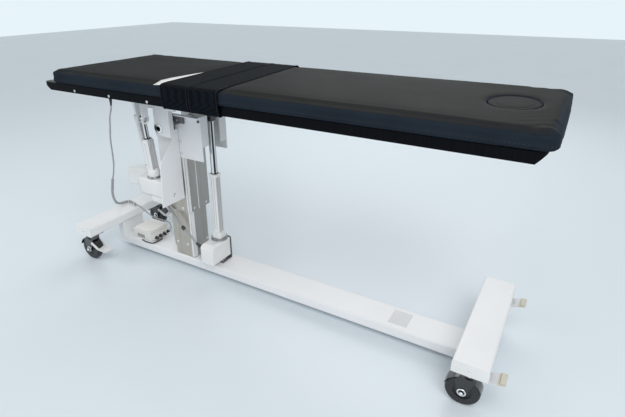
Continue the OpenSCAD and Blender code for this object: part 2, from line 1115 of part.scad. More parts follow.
module bearings()
{
    mid = (arm_out + bearing_out) / 2;
    color(dark_steel)
        column_frame() {
            difference() {
                for (side = [-1, 1])
                    translate([0, side * mid, tilt_z]) {
                        rod_y(2 * bearing_r, bearing_out - arm_out);
                        translate([0, side * (bearing_lip - bearing_out + arm_out) / 2, 0])
                            rod_y(2 * bearing_lip_r, bearing_lip);
                    }
                translate([0, 0, tilt_z])
                    rod_y(shaft_d + 2 * run, 2 * cheek_y);
            }
            translate([0, -arm_out - saddle_t / 2, 0])
                along_y(saddle_t)
                    difference() {
                        translate([saddle_x0, saddle_z])
                            square([saddle_x1 - saddle_x0, arm_top - arm_flange_t - saddle_z]);
                        translate([saddle_x, saddle_z])
                            circle(saddle_notch_r, $fn = round_fn);
                    }
            translate([saddle_x, -arm_out - saddle_pin_l / 2, saddle_z])
                rod_y(saddle_pin_d, saddle_pin_l);
        }
}

// Linear actuators that swing; local z runs up the rod from the lower pin

tilt_lean = atan((tilt_arm_x - tilt_base_x) / (tilt_arm_z + tilt_base_z));
tilt_len = norm([tilt_arm_x - tilt_base_x, tilt_arm_z + tilt_base_z]);
roll_lean = atan((roll_arm_y - roll_base_y) / (roll_z - roll_arm_z - roll_base_z));
roll_len = norm([roll_arm_y - roll_base_y, roll_z - roll_arm_z - roll_base_z]);

module tilt_line()
{
    column_frame()
        translate([-tilt_base_x, 0, tilt_z - tilt_base_z])
            rotate([0, -tilt_lean, 0])
                children();
}

module roll_line()
{
    column_frame()
        translate([-roll_act_x, -roll_base_y, roll_base_z])
            rotate([roll_lean, 0, 0])
                children();
}

module swing_tube(d, rod_d, low, high, body_top)
{
    difference() {
        union() {
            translate([0, 0, low])
                round_rod(high - low, d / 2);
            translate([0, 0, body_top])
                round_rod(low + ring_small_t - body_top, d / 2 + act_foot);
            translate([0, 0, high - act_cap_h])
                round_rod(act_cap_h, d / 2 + act_cap);
        }
        translate([0, 0, low + ring_small_t])
            cylinder(high - low, rod_d / 2 + run, rod_d / 2 + run, $fn = round_fn);
    }
}

module tilt_motor()
{
    color(white)
        tilt_line() {
            translate([(tilt_motor_near - tilt_motor_len) / 2, 0, (tilt_motor_low + tilt_motor_high) / 2])
                rounded_block(tilt_motor_len + tilt_motor_near, tilt_motor_w,
                    tilt_motor_high - tilt_motor_low, motor_r);
            rod_y(act_stub_d, tilt_motor_w + 2 * act_arm_t);
        }
}

module tilt_tube()
{
    color(white)
        tilt_line()
            swing_tube(tilt_tube_d, tilt_rod_d, tilt_tube_low, tilt_tube_high, tilt_motor_high);
}

module tilt_rod()
{
    color(chrome)
        tilt_line() {
            translate([0, 0, tilt_rod_low])
                cylinder(tilt_len - tilt_rod_low, tilt_rod_d / 2, tilt_rod_d / 2, $fn = round_fn);
            translate([0, 0, tilt_len]) {
                rod_y(2 * eye_r, eye_w);
                rod_y(tilt_pin_d, ear_pin_l);
            }
        }
}

module roll_motor()
{
    color(white)
        roll_line() {
            translate([(roll_motor_x0 + roll_motor_x1) / 2, 0, (roll_motor_low + roll_motor_high) / 2])
                rounded_block(roll_motor_x1 - roll_motor_x0, roll_motor_w,
                    roll_motor_high - roll_motor_low, motor_r);
            translate([roll_motor_x1, 0, 0])
                rod_x(act_stub_d, 2 * (hanger_boss_l - stub_short));
        }
}

module roll_tube()
{
    color(white)
        roll_line()
            swing_tube(roll_tube_d, roll_rod_d, roll_tube_low, roll_tube_high, roll_motor_high);
}

module roll_rod()
{
    color(chrome)
        roll_line() {
            translate([0, 0, roll_rod_low])
                cylinder(roll_len - roll_rod_low, roll_rod_d / 2, roll_rod_d / 2, $fn = round_fn);
            translate([0, 0, roll_len]) {
                rod_x(2 * eye_r, eye_w);
                rod_x(tilt_pin_d, ear_pin_l);
            }
        }
}

module tilt_arm()
{
    x0 = -sleeve_x / 2;
    pin_z = tilt_z - tilt_base_z;
    color(white)
        column_frame() {
            translate([x0 - act_arm_t / 2, 0, pin_z])
                along_x(act_arm_t)
                    rounded_outline(tilt_motor_w + 2 * act_arm_t + 4 * act_arm_room,
                        rear_plate_share * act_arm_h, rear_plate_r);
            difference() {
                for (side = [-1, 1])
                    translate([0, side * ((tilt_motor_w + act_arm_t) / 2 + act_arm_room), 0])
                        along_y(act_arm_t) {
                            translate([-tilt_base_x, pin_z])
                                circle(act_arm_h / 2, $fn = round_fn);
                            translate([-tilt_base_x, pin_z - act_arm_h / 2])
                                square([tilt_base_x + x0 - act_arm_t / 2, act_arm_h]);
                        }
                translate([-tilt_base_x, 0, pin_z])
                    rod_y(act_stub_d + 2 * run, 2 * sleeve_y);
            }
        }
}

// Yoke

module yoke()
{
    color(white)
        column_frame() {
            difference() {
                for (side = [-1, 1])
                    translate([0, side * (cheek_y - cheek_t / 2), 0])
                        along_y(cheek_t) {
                            translate([cheek_x0, cheek_z])
                                square([cheek_x1 - cheek_x0, yoke_top - cheek_z]);
                            translate([yoke_left, yoke_top - yoke_rail_h])
                                square([yoke_right - yoke_left, yoke_rail_h]);
                        }
                translate([0, 0, tilt_z])
                    rod_y(shaft_d + 2 * run, 2 * (cheek_y + over));
            }
            for (side = [-1, 1])
                translate([cheek_x1 - cheek_return_t, return_y(side), cheek_z])
                    cube([cheek_return_t, cheek_return, yoke_top - cheek_z]);
            difference() {
                translate([yoke_left, -cheek_y, yoke_top - yoke_t])
                    cube([yoke_right - yoke_left, 2 * cheek_y, yoke_t]);
                translate([notch_x, -notch_y, yoke_top - yoke_t - over])
                    cube([yoke_right, 2 * notch_y, yoke_t + 2 * over]);
            }
            for (side = [-1, 1])
                translate([0, side * (eye_w / 2 + ear_gap + ear_t / 2), 0])
                    along_y(ear_t)
                        rear_outline();
        }
}

function return_y(side) = side * (cheek_y - cheek_return / 2) - cheek_return / 2;

module rear_outline()
{
    pin_z = tilt_z + tilt_arm_z;
    dir = 180 - atan(tilt_arm_z / tilt_arm_x);
    wall = tilt_pin_d / 2 + slot_play + ear_wall;
    difference() {
        union() {
            polygon([
                [rear_in, yoke_top - yoke_t], [rear_in, yoke_top - rear_h],
                [-tilt_arm_x, pin_z - waist_share * wall], [-tilt_arm_x, pin_z + waist_share * wall],
                [yoke_left, yoke_top - yoke_t]
            ]);
            translate([-tilt_arm_x, pin_z])
                slot(wall, tilt_slot_out, dir);
        }
        translate([-tilt_arm_x, pin_z])
            slot(tilt_pin_d / 2 + slot_play, tilt_slot_out, dir);
    }
}

module tilt_shaft()
{
    color(chrome)
        column_frame()
            translate([0, 0, tilt_z])
                difference() {
                    rod_y(shaft_d, 2 * (cheek_y + shaft_out));
                    rod_y(shaft_bore, 2 * (cheek_y + shaft_out + over));
                }
}

module roll_hanger()
{
    color(white)
        column_frame() {
            difference() {
                union() {
                    translate([hanger_x + hanger_t / 2, 0, 0])
                        along_x(hanger_t)
                            polygon([for (i = [0:len(hanger_y) - 1]) [hanger_y[i], hanger_z[i]]]);
                    translate([hanger_x - hanger_boss_l / 2, -roll_base_y, roll_base_z])
                        rod_x(2 * hanger_boss_r, hanger_boss_l);
                }
                translate([hanger_x - hanger_boss_l / 2, -roll_base_y, roll_base_z])
                    rod_x(act_stub_d + 2 * run, 2 * hanger_boss_l);
            }
        }
}

module pillow_blocks()
{
    color(dark_steel)
        column_frame()
            difference() {
                for (x = block_x)
                    translate([x, 0, 0])
                        along_x(block_t) {
                            translate([0, roll_z])
                                circle(block_r, $fn = round_fn);
                            translate([-block_r, yoke_top])
                                square([2 * block_r, roll_z - yoke_top]);
                            translate([-block_w / 2, yoke_top])
                                square([block_w, block_base]);
                        }
                translate([0, 0, roll_z])
                    rod_x(roll_shaft_d + 2 * run, 2 * cheek_y);
            }
}

// Roll frame and tray

module roll_frame()
{
    color(dark_steel)
        column_frame() {
            translate([(frame_x0 + frame_x1) / 2, (frame_y0 + frame_y1) / 2, tray_z - frame_t])
                rounded_post(frame_x1 - frame_x0, frame_y1 - frame_y0, frame_t, frame_r);
            difference() {
                for (x = roll_lug_x)
                    translate([x, 0, 0])
                        along_x(roll_lug_t) {
                            translate([0, roll_z])
                                circle(roll_lug_r, $fn = round_fn);
                            translate([-roll_lug_r, roll_z])
                                square([2 * roll_lug_r, tray_z - roll_z - frame_t / 2]);
                        }
                translate([0, 0, roll_z])
                    rod_x(roll_shaft_d + 2 * run, 2 * cheek_y);
            }
            for (side = [-1, 1])
                translate([-roll_act_x + side * (eye_w / 2 + ear_gap + ear_t / 2), 0, 0])
                    along_x(ear_t)
                        ear_outline();
        }
}

module ear_outline()
{
    pin_z = roll_z - roll_arm_z;
    dir = 180 + atan(roll_arm_z / roll_arm_y);
    wall = tilt_pin_d / 2 + slot_play + ear_wall;
    top = tray_z - frame_t / 2;
    difference() {
        union() {
            polygon([
                [-roll_arm_y - roll_slot_out - waist_share * wall, pin_z],
                [-roll_arm_y + waist_share * wall, pin_z],
                [-roll_arm_y + wall, top],
                [-roll_arm_y - wall - roll_slot_out, top]
            ]);
            translate([-roll_arm_y, pin_z])
                slot(wall, roll_slot_out, dir);
        }
        translate([-roll_arm_y, pin_z])
            slot(tilt_pin_d / 2 + slot_play, roll_slot_out, dir);
    }
}

module roll_shaft()
{
    color(chrome)
        column_frame()
            translate([(roll_shaft_x0 + roll_shaft_x1) / 2, 0, roll_z])
                rod_x(roll_shaft_d, roll_shaft_x1 - roll_shaft_x0);
}

module tray()
{
    color(gloss_black)
        intersection() {
            translate([tray_x, 0, tray_z])
                rounded_post(tray_len, tray_w, tray_t, tray_r);
            translate([tray_x, 0, tray_z])
                along_y(tray_w)
                    polygon([
                        [-tray_len / 2 + tray_slope_head, 0],
                        [tray_len / 2 - tray_slope_foot, 0],
                        [tray_len / 2, tray_t - tray_edge],
                        [tray_len / 2, tray_t],
                        [-tray_len / 2, tray_t],
                        [-tray_len / 2, tray_t - tray_edge]
                    ]);
        }
}

module tray_studs()
{
    color(chrome) {
        for (i = [0:stud_count - 1], side = [-1, 1])
            translate([tray_x - tray_len / 2 + stud_in + i * stud_pitch,
                side * (tray_w + stud_t) / 2, stud_z])
                rod_y(stud_d, stud_t);
    }
}

// Mattress: stacked rounded outlines, [inset share of thickness, height share]
pad_loops = [
    [0.14, 0], [0.04, 0.07], [0, 0.2], [0.05, 0.5], [0, 0.8], [0.07, 0.9],
    [0.22, 0.955], [0.7, 0.985], [2.1, 1]
];
pad_corner = 46;
pad_corner_n = 7;

function pad_point(a, b, r, q, k) =
    let (w = 90 * (q + k / (pad_corner_n - 1)), sx = (q == 0 || q == 3) ? 1 : -1, sy = (q < 2) ? 1 : -1)
    [sx * (a / 2 - r) + r * cos(w), sy * (b / 2 - r) + r * sin(w)];

function pad_ring(inset, z) =
    let (a = pad_len - 2 * inset, b = pad_w - 2 * inset, r = max(pad_corner - inset, pad_corner / 4))
    [for (q = [0:3], k = [0:pad_corner_n - 1]) let (p = pad_point(a, b, r, q, k)) [p[0], p[1], z]];

module pad_body()
{
    n = 4 * pad_corner_n;
    m = len(pad_loops);
    points = [for (s = pad_loops) each pad_ring(s[0] * pad_t, s[1] * pad_t)];
    sides = [for (i = [0:m - 2], k = [0:n - 1])
        let (a = i * n + k, b = i * n + (k + 1) % n)
        [a, a + n, b + n, b]];
    low = [for (k = [0:n - 1]) k];
    high = [for (k = [n - 1:-1:0]) (m - 1) * n + k];
    polyhedron(points, concat(sides, [low, high]));
}

module plug_outline(grow)
{
    scale([1, (plug_w + grow) / (plug_len + grow)])
        circle((plug_len + grow) / 2, $fn = plug_fn);
}

module mattress()
{
    color(cloth_black)
        difference() {
            translate([pad_x, 0, tray_z + tray_t])
                pad_body();
            translate([plug_x, 0, tray_z + tray_t + pad_t - plug_depth])
                linear_extrude(plug_depth + over)
                    plug_outline(2 * plug_gap);
            translate([0, 0, tray_z + tray_t + pad_t - groove_d])
                linear_extrude(groove_d + over)
                    strap_groove();
        }
}

// the straps press the foam down to a shallow skewed groove
module strap_groove()
{
    x0 = strap_x0 - groove_room;
    x1 = strap_x0 + 2 * strap_w + strap_gap + groove_room;
    shift = strap_skew_share * pad_w;
    polygon([[x0, -pad_w / 2], [x1, -pad_w / 2], [x1 - shift, pad_w / 2], [x0 - shift, pad_w / 2]]);
}

module face_plug()
{
    base = tray_z + tray_t + pad_t - plug_depth;
    color(cloth_black)
        translate([plug_x, 0, base]) {
            linear_extrude(plug_depth - plug_crown)
                plug_outline(0);
            translate([0, 0, plug_depth - plug_crown])
                linear_extrude(plug_crown - plug_flat)
                    plug_outline(-plug_crown);
        }
}

// Straps: closed band in y and z following the mattress, sheared along x
strap_side = [
    [-28, -37], [1, -37], [10.5, -6], [10.5, 12], [10.5, 45],
    [6.5, 50.6], [-2, 54.2], [-29, 55.5], [-107, 55.4]
];
function strap_near() = [for (p = strap_side)
    [-tray_w / 2 - p[0], tray_z + tray_t + p[1]]];
function strap_far() = [for (i = [len(strap_side) - 1:-1:2])
    [tray_w / 2 + strap_side[i][0], tray_z + tray_t + strap_side[i][1]]];
function strap_path() = concat(strap_near(), strap_far());
function normal_at(p, i) =
    let (d = unit(p[min(i + 1, len(p) - 1)] - p[max(i - 1, 0)])) [-d[1], d[0]];
function strap_offset(p, t) = [for (i = [0:len(p) - 1]) p[i] + t * normal_at(p, i)];

module straps()
{
    p = strap_path();
    near = strap_offset(p, strap_seat);
    out = strap_offset(p, strap_seat + strap_t);
    n = len(p);
    color(cloth_black)
        for (i = [0, 1])
            multmatrix([
                [1, -strap_skew_share, 0, -strap_skew_share * pad_w / 2],
                [0, 1, 0, 0],
                [0, 0, 1, 0]
            ])
                translate([strap_x0 + strap_w / 2 + i * (strap_w + strap_gap), 0, 0])
                    along_x(strap_w)
                        polygon(concat(near, [for (k = [n - 1:-1:0]) out[k]]));
}

// Cables, route points in the whole table's frame
cable_r = 3.5;
thick_r = 7;
motor_cable_r = 6;
plug_r = 10;
plug_end_r = 9;
top_route = [
    [-622, -300, 950], [-624, -300, 925], [-630, -300, 895], [-646, -300, 862], [-654, -298, 838]
];
mid_route = [
    [-654.3, -297.8, 837.2], [-662, -294, 818], [-678, -286, 790], [-704, -272, 745], [-722, -260, 708]
];
low_route = [
    [-722.4, -259.7, 707.3], [-752, -238, 652], [-786, -215, 590], [-838, -180, 545], [-900, -140, 490],
    [-948, -115, 440], [-990, -92, 385], [-1022, -75, 335], [-1046, -55, 285], [-1058, -32, 246],
    [-1064, 0, 229], [-1068, 34, 223], [-1056, 56, 222], [-1020, 52, 222], [-985, 40, 222.5],
    [-955, 40, 219.5], [-925, 42, 204], [-895, 48, 182], [-860, 58, 160], [31 - box_x, 68, 153],
    [76 - box_x, 72, 150], [100 - box_x, 66, 140], [108 - box_x, 58, 124], [104 - box_x, 54, 112],
    [96 - box_x, socket_y(socket_count - 1), 102], [84 - box_x, socket_y(socket_count - 1), 99]
];
low_thick = [5, 14];
lift_route = [
    [-588, -92, 369], [-568, -92, 350], [-548, -92, 328], [-530, -92, 306], [-512, -93, 285],
    [-492, -94, 266], [-474, -95, 252], [-452, -96, 240], [-430, -98, 224], [-408, -99, 205],
    [-390, -96, 188], [-369, -90, 172]
];
plug_at = [5, 6];
cord_gap = 0.3;
clip_len = 12;
clip_r = 9;
clip_w = 14;

module cable_top()
{
    color(cable_grey)
        cord(top_route, [for (p = top_route) cable_r], [0, 1, 0]);
}

module cable_mid()
{
    color(cable_grey)
        cord(mid_route, [for (p = mid_route) cable_r], [0, 1, 0]);
}

module cable_low()
{
    color(cable_grey)
        cord(low_route,
            [for (i = [0:len(low_route) - 1]) (i >= low_thick[0] && i <= low_thick[1]) ? thick_r : cable_r],
            [0.3, 1, 0.2]);
}

module motor_cable()
{
    color(cable_grey)
        difference() {
            cord(lift_route, [for (p = lift_route) motor_cable_r], [0, 1, 0]);
            translate([-lift_x - motor_x / 2 - cord_gap, motor_y0, motor_z0])
                cube([motor_x, motor_y1 - motor_y0, motor_z1 - motor_z0]);
        }
}

// holds the upper end of the motor's cable on the sleeve
module cable_clip()
{
    a = lift_route[0];
    b = lift_route[1];
    color(gloss_black)
        translate(a)
            rotate([0, atan2(b[0] - a[0], b[2] - a[2]), 0])
                translate([0, 0, -clip_len - cord_gap]) {
                    round_rod(clip_len, clip_r);
                    translate([-clip_w / 2, 0, 0])
                        cube([clip_w, -sleeve_y / 2 - a[1], clip_len]);
                }
}

module cable_plug()
{
    a = lift_route[plug_at[0]];
    b = lift_route[plug_at[1]];
    color(gloss_black)
        difference() {
            cord([a, (a + b) / 2, b], [plug_end_r, plug_r, plug_end_r], [0, 1, 0]);
            cord(lift_route, [for (p = lift_route) motor_cable_r], [0, 1, 0]);
        }
}

// Each node is drawn alone or with all others

base_beam();
risers();
head_crossbar();
foot_crossbar();
crossbar_caps();
caster_heads();
column_post();
post_screws();
control_box();
control_box_lid();
lift_bracket();
lift_motor();
lift_ring();
lift_collar();
lift_tube();
lift_gland();
motor_cable();
cable_plug();
cable_clip();
cable_low();
sleeve();
slide_pads();
sleeve_screws();
sleeve_cover();
arm_plates();
bearings();
lift_rod();
lift_clevis();
tilt_arm();
cable_mid();
tilt_motor();
tilt_tube();
tilt_rod();
yoke();
tilt_shaft();
roll_hanger();
pillow_blocks();
cable_top();
roll_motor();
roll_tube();
roll_rod();
roll_frame();
roll_shaft();
tray();
tray_studs();
mattress();
face_plug();
straps();
fork_head_near();
fork_head_far();
fork_foot_near();
fork_foot_far();
wheel_head_near();
wheel_head_far();
wheel_foot_near();
wheel_foot_far();
pedal_head_near();
pedal_head_far();
pedal_foot_near();
pedal_foot_far();
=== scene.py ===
import json
import math
import bpy
import bmesh
from mathutils import Matrix, Vector, noise
from mathutils.bvhtree import BVHTree


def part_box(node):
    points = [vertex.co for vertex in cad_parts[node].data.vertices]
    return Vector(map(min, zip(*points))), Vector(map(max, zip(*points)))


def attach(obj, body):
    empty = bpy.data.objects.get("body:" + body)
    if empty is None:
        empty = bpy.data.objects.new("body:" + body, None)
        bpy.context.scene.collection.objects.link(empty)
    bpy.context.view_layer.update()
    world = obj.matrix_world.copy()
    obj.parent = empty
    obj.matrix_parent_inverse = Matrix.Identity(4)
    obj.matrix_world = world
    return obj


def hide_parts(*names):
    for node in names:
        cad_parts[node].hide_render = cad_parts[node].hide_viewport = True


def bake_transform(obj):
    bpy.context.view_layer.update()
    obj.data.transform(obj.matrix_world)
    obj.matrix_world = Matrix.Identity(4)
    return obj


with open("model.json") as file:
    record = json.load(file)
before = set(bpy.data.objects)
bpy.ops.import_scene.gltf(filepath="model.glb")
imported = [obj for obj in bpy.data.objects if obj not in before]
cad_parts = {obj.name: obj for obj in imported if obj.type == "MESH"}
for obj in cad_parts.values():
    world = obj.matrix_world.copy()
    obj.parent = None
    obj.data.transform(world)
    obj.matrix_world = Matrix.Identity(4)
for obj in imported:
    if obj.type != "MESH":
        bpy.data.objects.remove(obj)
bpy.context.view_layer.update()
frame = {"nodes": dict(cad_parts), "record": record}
print("frame loaded")

# camera, solved on the long edges of the table in the photo
cameraData = {
    "place": (1.1038, -1.6549, 1.3748),
    "turn": 31.07,  # degrees from looking along +Y towards -X
    "down": 24.78,
    "roll": -0.32,
    "focal": 473.41,  # pixels
    "centre": (291.51, 205.96),
    "picture": (625, 417),
    "sensor": 36.0,
}


def addObject(name, data):
    obj = bpy.data.objects.new(name, data)
    bpy.context.scene.collection.objects.link(obj)
    return obj


def makeCamera(d):
    wide, high = d["picture"]
    data = bpy.data.cameras.new("camera")
    data.sensor_width = d["sensor"]
    data.lens = d["focal"] * d["sensor"] / wide
    data.shift_x = (wide / 2 - d["centre"][0]) / wide
    data.shift_y = (d["centre"][1] - high / 2) / wide
    data.clip_end = 60
    cam = addObject("camera", data)
    turn = Matrix.Rotation(math.radians(d["turn"]), 4, "Z")
    tip = Matrix.Rotation(math.radians(90 - d["down"]), 4, "X")
    roll = Matrix.Rotation(math.radians(d["roll"]), 4, "Z")
    cam.matrix_world = Matrix.Translation(d["place"]) @ turn @ tip @ roll
    bpy.context.scene.camera = cam


makeCamera(cameraData)
print("camera placed")


# materials
def setInputs(node, values):
    for name, value in values.items():
        node.inputs[name].default_value = value
    return node


def startMaterial(name, colour, rough, metal=0.0, coat=0.0, coatRough=0.1, specular=0.5):
    mat = bpy.data.materials.new(name)
    mat.use_nodes = True
    tree = mat.node_tree
    shader = tree.nodes["Principled BSDF"]
    setInputs(shader, {"Base Color": (*colour, 1), "Roughness": rough, "Metallic": metal, "Coat Weight": coat,
                       "Coat Roughness": coatRough, "Specular IOR Level": specular})
    return mat, tree, shader


def objectCoords(tree, scale=(1, 1, 1), turn=(0, 0, 0)):
    coords = tree.nodes.new("ShaderNodeTexCoord")
    mapping = setInputs(tree.nodes.new("ShaderNodeMapping"), {"Scale": scale, "Rotation": turn})
    tree.links.new(coords.outputs["Object"], mapping.inputs["Vector"])
    return mapping.outputs["Vector"]


def addNoise(tree, vector, scale, detail=3.0, rough=0.5):
    values = {"Scale": scale, "Detail": detail, "Roughness": rough}
    tex = setInputs(tree.nodes.new("ShaderNodeTexNoise"), values)
    tree.links.new(vector, tex.inputs["Vector"])
    return tex.outputs["Fac"]


def addRamp(tree, source, low, high, colours):
    ramp = tree.nodes.new("ShaderNodeValToRGB")
    for stop, place, colour in zip(ramp.color_ramp.elements, (low, high), colours):
        stop.position, stop.color = place, (*colour, 1)
    tree.links.new(source, ramp.inputs["Fac"])
    return ramp.outputs["Color"]


def addRange(tree, source, low, high):
    span = setInputs(tree.nodes.new("ShaderNodeMapRange"), {"To Min": low, "To Max": high})
    tree.links.new(source, span.inputs["Value"])
    return span.outputs["Result"]


def addBump(tree, shader, height, strength, distance):
    bump = setInputs(tree.nodes.new("ShaderNodeBump"), {"Strength": strength, "Distance": distance})
    tree.links.new(height, bump.inputs["Height"])
    tree.links.new(bump.outputs["Normal"], shader.inputs["Normal"])


def addMath(tree, kind, first, second):
    made = tree.nodes.new("ShaderNodeMath")
    made.operation = kind
    tree.links.new(first, made.inputs[0])
    tree.links.new(second, made.inputs[1])
    return made.outputs["Value"]


def addWave(tree, place, direction, d):
    wave = setInputs(tree.nodes.new("ShaderNodeTexWave"), {"Scale": d["scale"], "Distortion": d["distortion"]})
    wave.bands_direction = direction
    tree.links.new(place, wave.inputs["Vector"])
    return wave.outputs["Fac"]


def tinted(colour, share):
    return tuple(min(1, c * share) for c in colour)


def paintedLightByFacing(tree, axis, stops, flat=True):  # painted light and shade: colour set by which way the surface faces; stops: part of the normal along the axis, colour
    normal = tree.nodes.new("ShaderNodeNewGeometry")
    split = tree.nodes.new("ShaderNodeSeparateXYZ")
    tree.links.new(normal.outputs["True Normal" if flat else "Normal"], split.inputs["Vector"])
    ends = addRange(tree, split.outputs[axis], 0, 1)
    ends.node.inputs["From Min"].default_value = -1
    low, high = stops[0], stops[-1]
    shade = addRamp(tree, ends, (low[0] + 1) / 2, (high[0] + 1) / 2, (low[1], high[1]))
    for place, colour in stops[1:-1]:
        shade.node.color_ramp.elements.new((place + 1) / 2).color = (*colour, 1)
    return shade


def multiply(tree, first, second):
    mix = tree.nodes.new("ShaderNodeMix")
    mix.data_type = "RGBA"
    mix.blend_type = "MULTIPLY"
    mix.inputs[0].default_value = 1
    tree.links.new(first, mix.inputs[6])
    tree.links.new(second, mix.inputs[7])
    return mix.outputs[2]


def grey(share):
    return (share, share, share)


# coats with a fine grain in the bump and slow clouds in the tint and the roughness
coats = {
    "powder": {"coat": (0.25, 0.3), "fine": (420, 2), "bump": (0.12, 0.0004), "cloud": (3.5, 4),
               "span": (0.3, 0.75), "tints": (0.94, 1.02), "rough": (-0.06, 0.08)},
    "moulded": {"coat": (0.0, 0.12), "fine": (700, 2), "bump": (0.1, 0.0003), "cloud": (6, 3),
                "span": (0.3, 0.7), "tints": (0.93, 1.03), "rough": (-0.05, 0.07)},
    "tyre": {"coat": (0.15, 0.25), "fine": (260, 3), "bump": (0.1, 0.0004), "cloud": (30, 5, 0.7),
             "span": (0.45, 0.8), "tints": (1, 2.1), "rough": (-0.08, 0.18)},
    "sheath": {"coat": (0.0, 0.1), "fine": (45, 4), "bump": (0.08, 0.001), "cloud": (45, 4),
               "span": (0.3, 0.75), "tints": (0.85, 1.1), "rough": (0, 0)},
}


def coated(kind, name, colour, rough, coat=None):
    d = coats[kind]
    coat = d["coat"][0] if coat is None else coat
    mat, tree, shader = startMaterial(name, colour, rough, coat=coat, coatRough=d["coat"][1])
    place = objectCoords(tree)
    fine = addNoise(tree, place, *d["fine"])
    cloud = addNoise(tree, place, *d["cloud"])
    tint = addRamp(tree, cloud, *d["span"], [tinted(colour, share) for share in d["tints"]])
    tree.links.new(tint, shader.inputs["Base Color"])
    roughs = (rough + change for change in d["rough"])
    tree.links.new(addRange(tree, cloud, *roughs), shader.inputs["Roughness"])
    addBump(tree, shader, fine, *d["bump"])
    return mat


def brushedMetal(name, colour, rough, along=(900, 900, 9)):
    mat, tree, shader = startMaterial(name, colour, rough, metal=0.85)
    place = objectCoords(tree, along)
    streak = addNoise(tree, place, 1.0, 5, 0.65)
    broad = addNoise(tree, objectCoords(tree, (14, 14, 1.2)), 1.0, 3)
    tint = addRamp(tree, streak, 0.25, 0.8, (tinted(colour, 0.82), tinted(colour, 1.12)))
    # painted shade: faces turned towards +X are darker and bluer
    facingShade = paintedLightByFacing(tree, "X", ((0.2, (1, 1, 1)), (0.8, (0.78, 0.81, 0.86))))
    tree.links.new(multiply(tree, tint, facingShade), shader.inputs["Base Color"])
    tree.links.new(addRange(tree, broad, rough - 0.08, rough + 0.12), shader.inputs["Roughness"])
    addBump(tree, shader, streak, 0.12, 0.0002)
    return mat


def chromePlate(name, colour=(0.82, 0.83, 0.84), rough=0.12, rod=False):
    mat, tree, shader = startMaterial(name, colour, rough, metal=1.0)
    # painted reflection: the colour darkens where the surface turns away from the view, as chrome reflecting a
    # dark room
    facing = tree.nodes.new("ShaderNodeLayerWeight")
    facing.inputs["Blend"].default_value = 0.5
    bands = addRamp(tree, facing.outputs["Facing"], 0.42, 0.8, (colour, tinted(colour, 0.12)))
    if rod:  # painted reflection: dark and light stripes, set by which way the rod's surface faces, that a polished rod reflects
        stops = ((-0.88, grey(1.0)), (-0.80, grey(0.05)), (-0.42, grey(0.04)), (-0.30, grey(0.85)),
                 (0.3, grey(0.7)), (0.5, grey(0.1)))
        bands = multiply(tree, bands, paintedLightByFacing(tree, "Y", stops, False))
    tree.links.new(bands, shader.inputs["Base Color"])
    smudge = addNoise(tree, objectCoords(tree), 22, 4)
    tree.links.new(addRange(tree, smudge, rough - 0.05, rough + 0.12), shader.inputs["Roughness"])
    return mat


def tubeCoat(name, colour):
    mat, tree, shader = startMaterial(name, colour, 0.3, coat=0.2, coatRough=0.25)
    streak = addNoise(tree, objectCoords(tree, (500, 500, 6)), 1.0, 4)
    tint = addRamp(tree, streak, 0.25, 0.8, (tinted(colour, 0.94), tinted(colour, 1.03)))
    # painted shade: faces turned towards -Y keep full brightness, the others are darker
    stops = ((-0.7, grey(1.0)), (-0.5, grey(0.55)), (-0.15, grey(0.55)), (0.05, grey(0.72)))
    sides = paintedLightByFacing(tree, "Y", stops, False)
    tree.links.new(multiply(tree, tint, sides), shader.inputs["Base Color"])
    addBump(tree, shader, streak, 0.08, 0.0002)
    return mat


def carbonGloss(name, colour):
    mat, tree, shader = startMaterial(name, colour, 0.4, coat=0.04, coatRough=0.08, specular=0.05)
    place = objectCoords(tree, turn=(0, 0, math.radians(45)))
    shades = [(*tinted(colour, share), 1) for share in (0.7, 1.7, 0.4)]
    weave = {"Scale": 160, "Mortar Size": 0.03, **dict(zip(("Color1", "Color2", "Mortar"), shades))}
    weave = setInputs(tree.nodes.new("ShaderNodeTexBrick"), weave)
    tree.links.new(place, weave.inputs["Vector"])
    tree.links.new(weave.outputs["Color"], shader.inputs["Base Color"])
    ripple = addNoise(tree, objectCoords(tree), 5, 2)
    addBump(tree, shader, ripple, 0.05, 0.002)
    return mat


def coatedCloth(name, colour, rough=0.62):
    mat, tree, shader = startMaterial(name, colour, rough, specular=0.03)
    place = objectCoords(tree)
    threads, picks = (addWave(tree, place, way, {"scale": 420, "distortion": 0.4}) for way in "XY")
    weave = addMath(tree, "MULTIPLY", threads, picks)
    cloud = addNoise(tree, place, 4, 5, 0.6)
    tint = addRamp(tree, cloud, 0.25, 0.8, (tinted(colour, 0.8), tinted(colour, 1.25)))
    # painted light and shade: the cover's top is made warmer and its sides bluer, by which way the surface
    # faces
    sides = paintedLightByFacing(tree, "Z", ((0.84, (0.86, 1, 1)), (0.965, (1, 0.8, 0.53))), False)
    tree.links.new(multiply(tree, tint, sides), shader.inputs["Base Color"])
    tree.links.new(addRange(tree, cloud, rough - 0.1, rough + 0.1), shader.inputs["Roughness"])
    addBump(tree, shader, weave, 0.25, 0.0004)
    return mat


def meshWebbing(name, colour, light):
    mat, tree, shader = startMaterial(name, colour, 0.85, specular=0.04)
    place = objectCoords(tree, turn=(0, 0, math.radians(4.5)))
    cells = setInputs(tree.nodes.new("ShaderNodeTexVoronoi"), {"Scale": 330, "Randomness": 0.25})
    tree.links.new(place, cells.inputs["Vector"])
    tint = addRamp(tree, cells.outputs["Distance"], 0.25, 0.6, (light, tinted(colour, 0.5)))
    # painted shade: the bands' sides are darker and bluer than their tops
    sides = paintedLightByFacing(tree, "Z", ((0.25, (0.75, 0.9, 1)), (0.8, (1, 0.95, 0.85))), False)
    tree.links.new(multiply(tree, tint, sides), shader.inputs["Base Color"])
    addBump(tree, shader, cells.outputs["Distance"], 0.3, 0.0005)
    return mat


